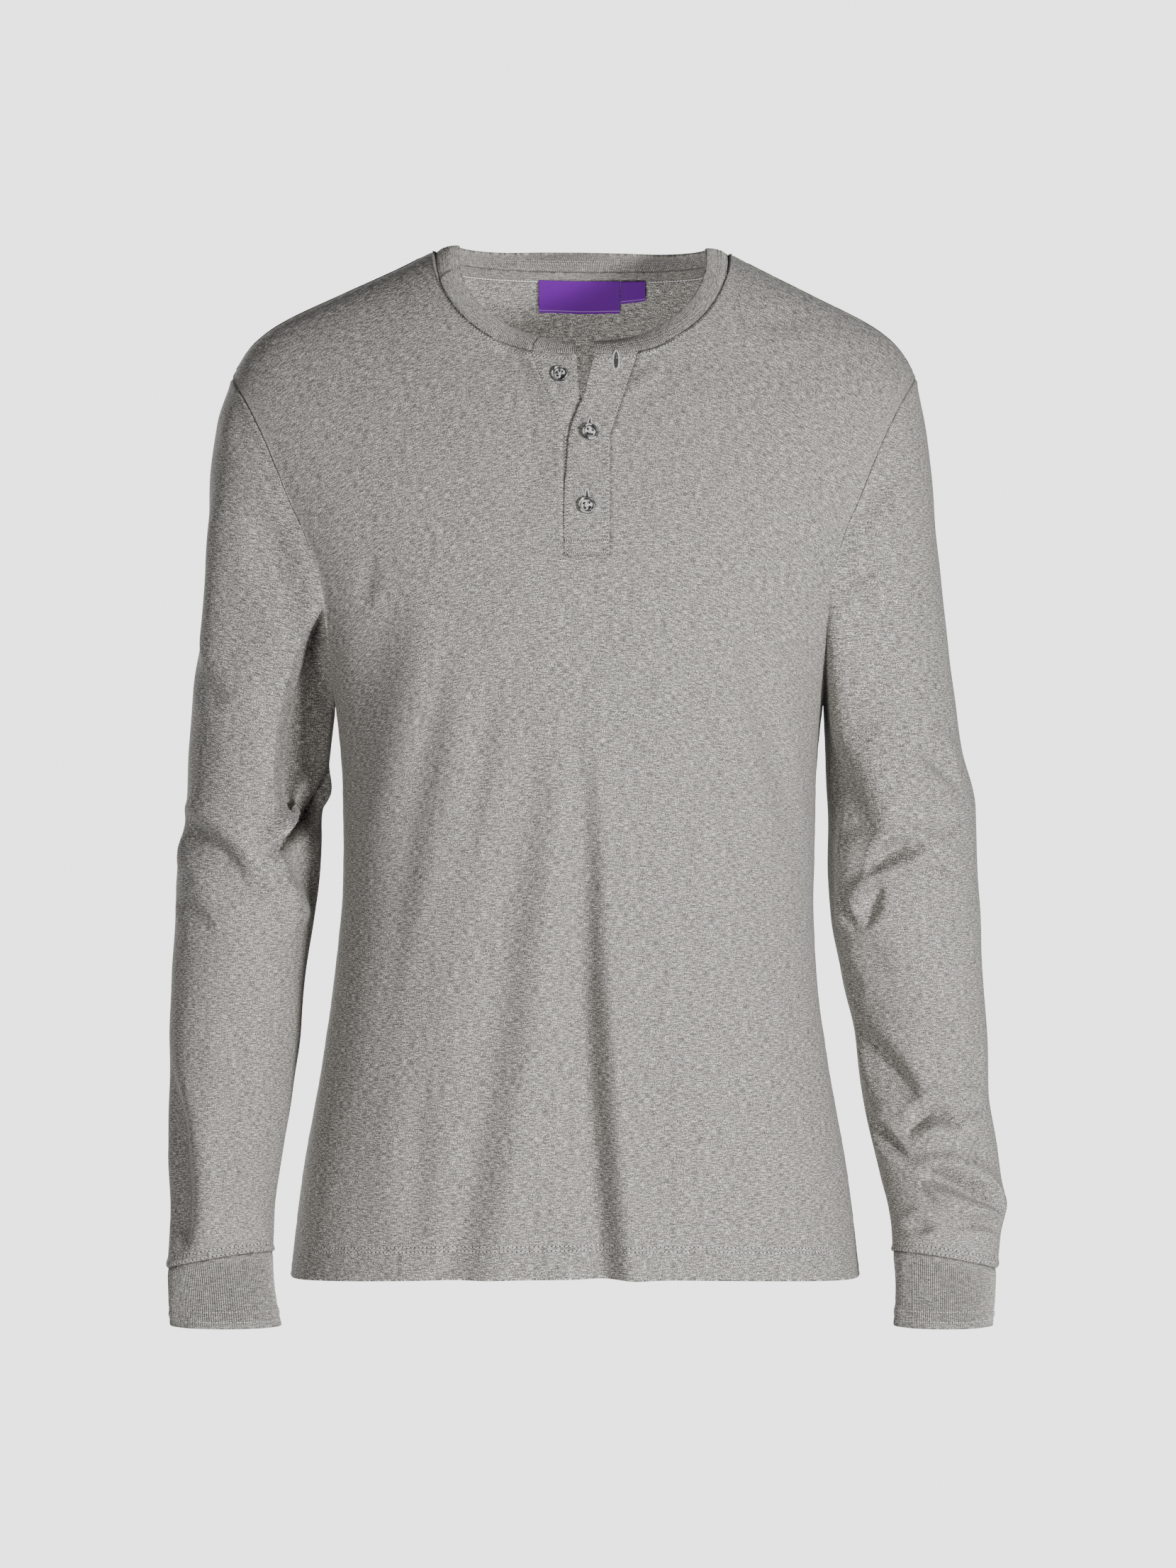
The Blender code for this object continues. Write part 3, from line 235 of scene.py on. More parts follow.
# ---------------------------------------------------------------- folds
@dataclass(frozen=True)
class Fold:
    """One fold along a curved line; its ends and bend are (across, height), in metres.

    On a sleeve, across is in degrees round it: 0 outside, 90 in front, 180 inside, -90 behind.
    fade_in and fade_out are the shares of its length over which it comes, goes and narrows.
    """

    start: tuple[float, float]
    bend: tuple[float, float]
    end: tuple[float, float]
    width: float
    rise: float
    form: FoldForm = FoldForm.ROLL
    fade_in: float = 0.4
    fade_out: float = 0.4

    def relief(self, across: Array, height: Array, scale: float = 1.0) -> Array:
        """How far the fold moves the cloth out: its section's curve of the distance from its line.

        Args:
            across: across, in metres.
            height: height, in metres.
            scale: metres for each unit of the fold's own across.

        Returns:
            Metres outward, for each point.
        """
        s = np.linspace(0.0, 1.0, 15)[:, None]
        a, b, c = (np.array(p) * [scale, 1.0] for p in (self.start, self.bend, self.end))
        line = (1 - s) ** 2 * a + 2 * s * (1 - s) * b + s**2 * c
        shape = np.broadcast(across, height).shape
        least, signed, along = np.full(shape, np.inf), np.zeros(shape), np.zeros(shape)
        last = len(line) - 2
        for i in range(last + 1):
            p, d = line[i], line[i + 1] - line[i]
            low, high = (-9.0 if i == 0 else 0.0), (9.0 if i == last else 1.0)
            t = np.clip(((across - p[0]) * d[0] + (height - p[1]) * d[1]) / (d @ d), low, high)
            gap_x, gap_z = across - p[0] - t * d[0], height - p[1] - t * d[1]
            gap = np.hypot(gap_x, gap_z)
            closer = gap < least
            side = np.where(d[0] * gap_z - d[1] * gap_x > 0, 1.0, -1.0)
            signed = np.where(closer, side * gap, signed)
            along = np.where(closer, (i + t) / (last + 1), along)
            least = np.minimum(least, gap)
        fade = ease(along / self.fade_in) if self.fade_in else 1.0
        fade = fade * (ease((1 - along) / self.fade_out) if self.fade_out else 1.0)
        wave = signed / self.width / (0.5 + 0.5 * fade)
        if self.form is FoldForm.ROLL:
            section = wave * np.exp(0.5 - 0.5 * wave**2)
        elif self.form is FoldForm.TROUGH:
            section = (wave**2 - 1) * np.exp(-0.5 * wave**2)
        else:
            section = 0.4 * bell(np.abs(wave) - 1.7, 0.8) - np.exp(-1.6 * np.abs(wave))
        return self.rise * fade * section


def softness(across: Array, height: Array, seed: float) -> Array:
    """The small slow unevenness of soft cloth: a sum of slanted sine waves, up to 0.5 mm.

    Args:
        across: across, in metres.
        height: height, in metres.
        seed: shifts the waves, so that no two pieces match.

    Returns:
        Metres outward, for each point.
    """
    waves = (
        (97, 31, 0.00016),
        (-61, 83, 0.00014),
        (151, -47, 0.00009),
        (43, 129, 0.00012),
        (23, -57, 0.0002),
    )
    total = 0.0
    for number, (by_x, by_z, size) in enumerate(waves):
        total = total + size * np.sin(by_x * across + by_z * height + seed + 1.7 * number)
    return total


ROLL, TROUGH, CREASE = FoldForm.ROLL, FoldForm.TROUGH, FoldForm.CREASE
FRONT_FOLDS = (
    Fold((-0.056, -0.0715), (-0.041, -0.082), (-0.026, -0.1), 0.0055, 0.0016, TROUGH, 0.3, 0.5),
    Fold((-0.113, -0.233), (-0.123, -0.306), (-0.158, -0.435), 0.017, 0.0040, ROLL, 0.4, 0.5),
    Fold((-0.137, -0.213), (-0.141, -0.236), (-0.145, -0.258), 0.007, 0.0022, TROUGH, 0.5, 0.5),
    Fold((-0.076, -0.262), (-0.098, -0.338), (-0.128, -0.577), 0.0095, 0.0024, ROLL, 0.4, 0.45),
    Fold((-0.022, -0.307), (-0.027, -0.488), (-0.069, -0.706), 0.014, 0.0046, ROLL, 0.4, 0),
    Fold((0.005, -0.281), (0.012, -0.529), (0.029, -0.706), 0.0115, 0.0105, ROLL, 0.6, 0),
    Fold((0.06, -0.274), (0.076, -0.31), (0.124, -0.482), 0.01, 0.0034, TROUGH, 0.4, 0.5),
    Fold((0.107, -0.249), (0.12, -0.309), (0.157, -0.45), 0.01, 0.0042, TROUGH),
    Fold((0.144, -0.2), (0.162, -0.211), (0.179, -0.221), 0.006, 0.003, TROUGH, 0.5, 0.2),
    Fold((0.112, -0.058), (0.142, -0.054), (0.172, -0.05), 0.01, 0.0024, TROUGH, 0.5),
    Fold((-0.061, -0.07), (-0.038, -0.087), (-0.018, -0.121), 0.006, 0.003, TROUGH, 0.3),
    Fold((0.036, -0.109), (0.045, -0.099), (0.054, -0.089), 0.007, -0.0022, TROUGH),
    Fold((-0.055, -0.288), (-0.062, -0.334), (-0.078, -0.439), 0.009, 0.0018, TROUGH, 0.5, 0.5),
    Fold((0.044, -0.476), (0.052, -0.535), (0.059, -0.679), 0.012, 0.002, TROUGH, 0.5),
    Fold((0.094, -0.519), (0.111, -0.576), (0.118, -0.671), 0.012, 0.0016, TROUGH, 0.5),
    Fold((-0.1, -0.548), (-0.106, -0.607), (-0.107, -0.694), 0.012, 0.0024, TROUGH, 0.5, 0.2),
    Fold((-0.018, -0.131), (-0.036, -0.189), (-0.055, -0.207), 0.01, 0.0012, TROUGH, 0.4, 0.5),
)
BACK_FOLDS = (
    Fold((-0.105, -0.25), (-0.112, -0.38), (-0.128, -0.56), 0.016, 0.0047, ROLL, 0.5, 0.5),
    Fold((-0.045, -0.3), (-0.05, -0.48), (-0.07, -0.714), 0.015, 0.0052, ROLL, 0.5, 0),
    Fold((0.012, -0.34), (0.018, -0.52), (0.014, -0.714), 0.014, 0.0044, ROLL, 0.5, 0),
    Fold((0.07, -0.28), (0.08, -0.44), (0.098, -0.7), 0.016, 0.0049, ROLL, 0.5, 0.2),
    Fold((0.12, -0.24), (0.13, -0.34), (0.148, -0.46), 0.013, 0.0039, ROLL, 0.5, 0.5),
    Fold((-0.08, -0.12), (-0.07, -0.18), (-0.066, -0.25), 0.012, 0.0022, TROUGH, 0.5, 0.5),
    Fold((0.085, -0.11), (0.078, -0.17), (0.06, -0.24), 0.012, 0.0024, TROUGH, 0.5, 0.5),
    Fold((-0.09, -0.47), (-0.1, -0.56), (-0.118, -0.69), 0.01, 0.0024, TROUGH, 0.5, 0.3),
    Fold((0.05, -0.5), (0.056, -0.6), (0.05, -0.7), 0.01, 0.0022, TROUGH, 0.5, 0.2),
)
RIGHT_SLEEVE_FOLDS = (
    Fold((60, -0.169), (86, -0.217), (117, -0.288), 0.01, 0.0034, TROUGH),
    Fold((36, -0.15), (40, -0.235), (34, -0.335), 0.02, -0.0045, TROUGH, 0.4, 0.4),
    Fold((33, -0.105), (47, -0.124), (61, -0.142), 0.007, 0.003, TROUGH),
    Fold((0, -0.26), (41, -0.31), (70, -0.319), 0.01, 0.002, TROUGH, 0.5, 0.5),
    Fold((38, -0.323), (77, -0.33), (118, -0.336), 0.01, 0.0022, TROUGH, 0.5, 0.5),
    Fold((176, -0.352), (146, -0.407), (102, -0.423), 0.0074, 0.0180, CREASE, 0.2, 0.3),
    Fold((170, -0.362), (146, -0.407), (108, -0.421), 0.012, -0.007, ROLL, 0.25),
    Fold((112, -0.422), (138, -0.436), (176, -0.462), 0.012, -0.006, ROLL, 0.3, 0.3),
    Fold((-4, -0.399), (71, -0.4), (108, -0.459), 0.0105, 0.0095, TROUGH, 0.3, 0.45),
    Fold((0, -0.447), (67, -0.456), (71, -0.479), 0.008, 0.0024, TROUGH, 0.4, 0.5),
    Fold((74, -0.515), (107, -0.554), (115, -0.617), 0.01, 0.0022, TROUGH, 0.5, 0.5),
    Fold((20, -0.558), (82, -0.612), (50, -0.705), 0.016, 0.0085, ROLL, 0.4, 0.2),
    Fold((-60, -0.33), (-85, -0.43), (-100, -0.56), 0.016, 0.0038, ROLL, 0.4, 0.5),
    Fold((-130, -0.4), (-105, -0.428), (-60, -0.44), 0.014, 0.0026, ROLL, 0.5, 0.5),
    Fold((-150, -0.38), (-120, -0.402), (-95, -0.398), 0.008, 0.0024, TROUGH, 0.4, 0.5),
    Fold((-60, -0.15), (-90, -0.205), (-120, -0.25), 0.01, 0.003, TROUGH, 0.4, 0.5),
    Fold((-30, -0.6), (-70, -0.618), (-110, -0.612), 0.009, 0.0024, TROUGH),
)
LEFT_SLEEVE_FOLDS = (
    Fold((36, -0.144), (92, -0.179), (101, -0.213), 0.008, 0.004, TROUGH, 0.4, 0.3),
    Fold((74, -0.215), (95, -0.228), (115, -0.241), 0.007, 0.0032, TROUGH, 0.4, 0.3),
    Fold((45, -0.125), (54, -0.133), (63, -0.141), 0.007, 0.0026, TROUGH, 0.4, 0.3),
    Fold((152, -0.33), (118, -0.368), (100, -0.408), 0.017, -0.0075, ROLL, 0.4, 0.25),
    Fold((124, -0.438), (97, -0.402), (60, -0.416), 0.0066, 0.0105, TROUGH, 0.5, 0.5),
    Fold((148, -0.450), (104, -0.424), (72, -0.427), 0.0075, -0.0045, TROUGH, 0.5, 0.5),
    Fold((108, -0.430), (118, -0.448), (134, -0.473), 0.0060, 0.0062, TROUGH, 0.6, 0.4),
    Fold((154, -0.442), (145, -0.459), (133, -0.473), 0.0055, 0.0050, TROUGH, 0.5, 0.5),
    Fold((90, -0.437), (75, -0.409), (38, -0.441), 0.0058, 0.0046, TROUGH, 0.5, 0.5),
    Fold((82, -0.344), (46, -0.348), (34, -0.380), 0.0085, 0.0062, TROUGH, 0.5, 0.5),
    Fold((92, -0.391), (72, -0.406), (25, -0.389), 0.0090, 0.0036, TROUGH, 0.5, 0.5),
    Fold((152, -0.487), (118, -0.486), (111, -0.51), 0.012, 0.0030, TROUGH, 0.4, 0.5),
    Fold((172, -0.532), (118, -0.566), (96, -0.594), 0.0115, 0.0098, TROUGH, 0.4, 0.5),
    Fold((170, -0.595), (140, -0.614), (118, -0.626), 0.0072, 0.0070, TROUGH, 0.4, 0.5),
    Fold((124, -0.612), (89, -0.577), (58, -0.609), 0.0060, 0.0100, CREASE, 0.45, 0.4),
    Fold((122, -0.620), (87, -0.596), (66, -0.614), 0.0078, -0.0045, TROUGH, 0.5, 0.5),
    Fold((120, -0.638), (98, -0.628), (0, -0.669), 0.0072, 0.0129, TROUGH, 0.4, 0.35),
    Fold((152, -0.668), (120, -0.672), (100, -0.667), 0.0055, 0.0053, TROUGH, 0.5, 0.5),
    Fold((90, -0.672), (67, -0.658), (8, -0.677), 0.0050, 0.0067, TROUGH, 0.5, 0.4),
    Fold((92, -0.592), (58, -0.595), (20, -0.583), 0.006, 0.0034, TROUGH, 0.5, 0.5),
    Fold((28, -0.545), (39, -0.559), (54, -0.581), 0.007, 0.0024, TROUGH),
    Fold((-70, -0.3), (-95, -0.41), (-90, -0.54), 0.016, 0.0036, ROLL, 0.4, 0.5),
    Fold((-135, -0.44), (-105, -0.462), (-65, -0.455), 0.013, 0.0027, ROLL, 0.5, 0.5),
    Fold((-150, -0.405), (-115, -0.43), (-80, -0.42), 0.008, 0.0024, TROUGH, 0.4, 0.5),
    Fold((-50, -0.14), (-85, -0.19), (-115, -0.24), 0.01, 0.003, TROUGH, 0.4, 0.5),
    Fold((-40, -0.585), (-75, -0.6), (-120, -0.59), 0.009, 0.0024, TROUGH),
)


# ---------------------------------------------------------------- walls of cloth
@dataclass
class Wall:
    """A closed wall made from a grid on its outer face: that grid, a rounded rim, and an inner grid.

    Rows run from the foot to the top. round_foot and round_top say how far the rim of each bulges,
    as a share of half the thickness. keep leaves cells of the grid out, as for a placket's slot.
    """

    name: str
    outer: Array
    normal: Array
    thickness: Array | float
    cloth: Array
    ring: bool = False
    keep: Array | None = None
    round_foot: float = 0.3
    round_top: float = 0.3
    inner_relief: Array | float = 0.0
    # seam: the knit's finish paints the shade of a seam's groove beside it, by this distance
    seam: Array | float = 1.0       # metres from the nearest seam, which the knit's finish darkens
    # rib: the rib finish paints the ribs' shading by this, darker valleys and lighter crests
    rib: Array | float = 0.0        # from -1 in a rib's valley to 1 on its crest

    RIM = 3

    def lining(self) -> Array:
        """Rows that the inner face keeps: all, or on a ring every second and those next to its ends."""
        row = np.arange(len(self.outer))
        near_end = np.minimum(row, row[-1] - row) < self.RIM
        return row[near_end | (row % 2 == 0)] if self.ring else row

    def stack(self, grid: Array) -> Array:
        """Repeats a value's rows for the foot rim, the outer face, the top rim and the inner face."""
        foot, top = grid[:1].repeat(self.RIM, 0), grid[-1:].repeat(self.RIM, 0)
        return np.concatenate([foot, grid, top, grid[self.lining()][::-1]])

    def points(self) -> Array:
        """Stacks foot rim, outer rows, top rim and inner rows; a rim is half an ellipse in section."""
        depth = np.broadcast_to(np.asarray(self.thickness), self.outer.shape[:2])[..., None]
        inner = self.outer - self.normal * (depth + np.asarray(self.inner_relief)[..., None])
        rims = []
        for edge, beside, bulge in ((0, 1, self.round_foot), (-1, -2, self.round_top)):
            turn = (np.arange(self.RIM) + 1)[:, None, None] * math.pi / (self.RIM + 1)
            middle, half = (self.outer[edge] + inner[edge]) / 2, (self.outer[edge] - inner[edge]) / 2
            out = unit(self.outer[edge] - self.outer[beside]) * depth[edge] / 2 * bulge
            rims.append(middle + np.cos(turn) * half + np.sin(turn) * out)
        return np.concatenate([rims[0][::-1], self.outer, rims[1], inner[self.lining()][::-1]])

    def faces(self) -> list[Array]:
        """Corners of the faces as (stacked row, column) pairs: the skin, then the side walls and caps.

        Returns:
            Arrays of faces, each (faces, corners, 2); a ring's last column is one past its end.
        """
        rows, columns = self.outer.shape[:2]
        cells = columns if self.ring else columns - 1
        keep = np.ones((rows - 1, cells), bool) if self.keep is None else self.keep
        rim = self.RIM
        foot, top = keep[:1].repeat(rim, 0), keep[-1:].repeat(rim + 1, 0)
        skin = np.concatenate([foot, keep, top, keep[::-1], keep[:1]])
        if self.ring:
            skin = skin[:2 * rim + rows + len(self.lining())]
        s, j = np.nonzero(skin)
        up = (s + 1) % len(skin)
        found = [grid_faces((s, j), (s, j + 1), (up, j + 1), (up, j))]
        if self.ring:
            return found

        def out(i: Array) -> Array:
            """Stacked row of an outer row."""
            return rim + i

        def back(i: Array) -> Array:
            """Stacked row of the inner row behind an outer one."""
            return 2 * rim + 2 * rows - 1 - i

        padded = np.pad(keep, ((0, 0), (1, 1)))
        here, before = padded[:, 1:], padded[:, :-1]
        for starts, flip in ((here & ~before, False), (before & ~here, True)):
            i, j = np.nonzero(starts)
            wall = grid_faces((out(i), j), (out(i + 1), j), (back(i + 1), j), (back(i), j))
            found.append(wall[:, ::-1] if flip else wall)
            top = np.concatenate([[out(rows - 1)], rim + rows + np.arange(rim), [back(rows - 1)]])
            foot = np.concatenate([[back(0)], np.arange(rim), [out(0)]])
            for line, row in ((top, -1), (foot, 0)):
                j = np.nonzero(starts[row])[0]
                if len(j):
                    cap = np.stack(np.broadcast_arrays(line[None, :], j[:, None]), -1)
                    found.append(cap[:, ::-1] if flip else cap)
        i, j = np.nonzero(keep[:-1] & ~keep[1:])
        i = i + 1
        if len(i):
            found.append(grid_faces((out(i), j), (out(i), j + 1), (back(i), j + 1), (back(i), j)))
        return found

    def build(self, material: bpy.types.Material) -> bpy.types.Object:
        """Makes the mesh, with the map of metres along the cloth on every corner.

        Args:
            material: what the piece is made of.

        Returns:
            The piece.
        """
        points = self.points()
        columns = points.shape[1]
        cloth = self.cloth if self.ring else np.concatenate([self.cloth, self.cloth[:, -1:]], axis=1)
        cloth = self.stack(cloth)
        faces = self.faces()
        flat = points.reshape(-1, 3)
        index = [group[..., 0] * columns + group[..., 1] % columns for group in faces]
        corner = flat[index[0]]
        halves = (np.cross(corner[:, k], corner[:, k + 1]) for k in (1, 2))
        volume = sum(np.einsum("ij,ij->", corner[:, 0], half) for half in halves)
        if volume < 0:
            index, faces = [x[:, ::-1] for x in index], [x[:, ::-1] for x in faces]
        used, place = np.unique(np.concatenate([x.ravel() for x in index]), return_inverse=True)
        sizes = np.concatenate([np.full(len(x), x.shape[1]) for x in index])
        corners = np.concatenate([cloth[x[..., 0], x[..., 1]].reshape(-1, 2) for x in faces])
        piece = add_mesh(self.name, flat[used], place, sizes, material, corners)
        # distances from seams and rib crests, which the knit's finish turns into painted shade
        for mark in ("seam", "rib"):
            value = self.stack(np.broadcast_to(getattr(self, mark), self.outer.shape[:2]))
            add_mark(piece, mark, value.ravel()[used])
        return piece

    def from_edge(self, edge: str) -> tuple[Array, Array]:
        """The outer face and its normals with the named edge as row 0: foot, top, first or last."""
        grids = (self.outer, self.normal)
        if edge in ("first", "last"):
            grids = tuple(grid.swapaxes(0, 1) for grid in grids)
        return tuple(grid[::-1] for grid in grids) if edge in ("top", "last") else grids

    def distance(self, edge: str) -> Array:
        """Metres of every point from an edge, added up along the grid's own lines."""
        grid = self.from_edge(edge)[0]
        run = lengths(grid)
        run = run[::-1] if edge in ("top", "last") else run
        return run.swapaxes(0, 1) if edge in ("first", "last") else run

    def line(self, edge: str, metres: float, lift: float = 0.0, part: slice = slice(None)) -> Line:
        """A line on the outer face, a distance in from one edge, raised along the normals.

        Args:
            edge: foot, top, first or last.
            metres: how far in.
            lift: metres off the face.
            part: which part of the edge.

        Returns:
            The line; round a ring it ends where it starts.
        """
        grid, normal = (x[:, part] for x in self.from_edge(edge))
        run = lengths(grid)
        i = np.clip((run < metres).sum(axis=0), 1, len(run) - 1)
        j = np.arange(grid.shape[1])
        t = ((metres - run[i - 1, j]) / np.maximum(run[i, j] - run[i - 1, j], 1e-9))[:, None]
        points = grid[i - 1, j] + (grid[i, j] - grid[i - 1, j]) * t
        normals = unit(normal[i - 1, j] + (normal[i, j] - normal[i - 1, j]) * t)
        if self.ring:
            points, normals = np.vstack([points, points[:1]]), np.vstack([normals, normals[:1]])
        return points + normals * lift, normals

    def emboss(self, relief: Array) -> None:
        """Moves the outer face along its normals, then works the normals out again.

        Args:
            relief: metres outward, for each point.
        """
        self.outer = self.outer + self.normal * relief[..., None]
        self.normal = grid_normals(self.outer, self.ring)


def add_mesh(name: str, points: Array, corners: Array, sizes: Array, material: bpy.types.Material,
             cloth: Array | None = None, sharp: float = 55.0) -> bpy.types.Object:
    """Adds a smooth mesh from whole arrays.

    Args:
        name: the piece's name.
        points: its points, (points, 3).
        corners: the point of every corner, face after face.
        sizes: how many corners each face has.
        material: what it is made of.
        cloth: metres along the cloth, for every corner.
        sharp: edges that turn by more than this many degrees stay sharp.

    Returns:
        The piece, linked to the scene.
    """
    mesh = bpy.data.meshes.new(name)
    mesh.vertices.add(len(points))
    mesh.vertices.foreach_set("co", np.ascontiguousarray(points, np.float32).ravel())
    mesh.loops.add(len(corners))
    mesh.loops.foreach_set("vertex_index", np.asarray(corners, np.int32))
    mesh.polygons.add(len(sizes))
    starts = np.concatenate([[0], np.cumsum(sizes)[:-1]])
    mesh.polygons.foreach_set("loop_start", starts.astype(np.int32))
    mesh.update(calc_edges=True)
    if cloth is not None:
        metres = mesh.uv_layers.new(name="cloth")
        metres.data.foreach_set("uv", np.ascontiguousarray(cloth, np.float32).ravel())
    mesh.shade_smooth()
    mesh.set_sharp_from_angle(angle=math.radians(sharp))
    mesh.materials.append(material)
    piece = bpy.data.objects.new(name, mesh)
    bpy.context.scene.collection.objects.link(piece)
    return piece


def add_mark(piece: bpy.types.Object, name: str, value: Array) -> None:
    """Gives every point of a piece a number that its finish reads."""
    mark = piece.data.attributes.new(name, "FLOAT", "POINT")
    mark.data.foreach_set("value", np.ascontiguousarray(value, np.float32))


GUTTER = (0.00085, 0.0008)              # depth and bell width of the groove at a seam, in metres
SWELL = (0.00055, 0.0028, 0.0015)       # height, distance from the seam and bell width of the swell
PUCKER_HEIGHT = 0.00022
PUCKER_TURNS = (1250, 210, 97)          # radians a metre of the puckers, of their drift and of their beat


def sewn(distance: Array, along: Array, reach: float = 0.006) -> Array:
    """Relief beside a seam: a gutter at the seam, a soft swell, and small puckers across that die out.

    Args:
        distance: metres from the seam.
        along: metres along it.
        reach: how far the puckers run.

    Returns:
        Metres outward.
    """
    gutter = -GUTTER[0] * bell(distance, GUTTER[1])
    swell = SWELL[0] * bell(distance - SWELL[1], SWELL[2])
    close, drift, beat = PUCKER_TURNS
    pucker = np.sin(along * close + 2.2 * np.sin(along * drift)) * np.sin(along * beat + 1.0)
    return gutter + swell + PUCKER_HEIGHT * pucker * np.exp(-distance / reach) * ease(distance / 0.0012)


def share_normals(walls: list[Wall]) -> None:
    """Gives points of several walls that lie at one place the mean of their normals.

    Args:
        walls: walls that are sewn edge to edge; their normals are changed.
    """
    points = np.concatenate([wall.outer.reshape(-1, 3) for wall in walls])
    normals = np.concatenate([wall.normal.reshape(-1, 3) for wall in walls])
    place = np.unique(np.round(points / 0.00003).astype(int), axis=0, return_inverse=True)[1].ravel()
    total = np.zeros((place.max() + 1, 3))
    np.add.at(total, place, normals)
    joined = unit(total[place])
    at = 0
    for wall in walls:
        size = wall.outer.shape[0] * wall.outer.shape[1]
        wall.normal = joined[at:at + size].reshape(wall.outer.shape)
        at += size


# ---------------------------------------------------------------- the body's form
TORSO = Table(
    ("height", "half_width", "front", "back"),
    (
        (-0.7085, 0.1960, 0.1260, 0.1200),
        (-0.6400, 0.1877, 0.1230, 0.1160),
        (-0.5600, 0.1738, 0.1200, 0.1100),
        (-0.5000, 0.1658, 0.1205, 0.1060),
        (-0.4400, 0.1622, 0.1225, 0.1055),
        (-0.3700, 0.1630, 0.1280, 0.1110),
        (-0.3300, 0.1662, 0.1310, 0.1150),
        (-0.3050, 0.1700, 0.1320, 0.1180),
        (-0.2700, 0.1810, 0.1330, 0.1200),
        (-0.2400, 0.1930, 0.1330, 0.1210),
        (-0.2000, 0.2090, 0.1320, 0.1210),
        (-0.1550, 0.2330, 0.1290, 0.1200),
        (-0.1100, 0.2600, 0.1240, 0.1180),
        (-0.0800, 0.2750, 0.1190, 0.1170),
        (0.0200, 0.3000, 0.1150, 0.1160),
    ),
)
RIDGE = Table(
    ("out", "height"),
    (
        (0.0000, 0.0160),
        (0.0600, 0.0120),
        (0.1000, -0.0030),
        (0.1225, -0.0145),
        (0.1634, -0.0340),
        (0.2029, -0.0535),
        (0.2170, -0.0635),
        (0.2259, -0.0730),
        (0.2355, -0.0905),
        (0.2600, -0.1500),
    ),
)
ARMHOLE = Table(
    ("height", "front", "back"),
    (
        (-0.3050, 0.1700, 0.1700),
        (-0.2700, 0.1700, 0.1730),
        (-0.2400, 0.1722, 0.1790),
        (-0.2000, 0.1832, 0.1920),
        (-0.1780, 0.1932, 0.2000),
        (-0.1550, 0.2025, 0.2085),
        (-0.1320, 0.2125, 0.2175),
        (-0.1100, 0.2237, 0.2265),
        (-0.0905, 0.2355, 0.2355),
    ),
)
BAND_EDGES = Table(
    ("height", "under", "over"),
    (
        (-0.2192, 0.0195, -0.0094),
        (-0.1798, 0.0195, -0.0092),
        (-0.1595, 0.0193, -0.0078),
        (-0.1414, 0.0188, -0.0064),
        (-0.1321, 0.0165, -0.0050),
        (-0.1217, 0.0080, -0.0012),
        (-0.1097, 0.0002, 0.0038),
        (-0.0935, -0.0018, 0.0080),
        (-0.0738, -0.0034, 0.0126),
    ),
)


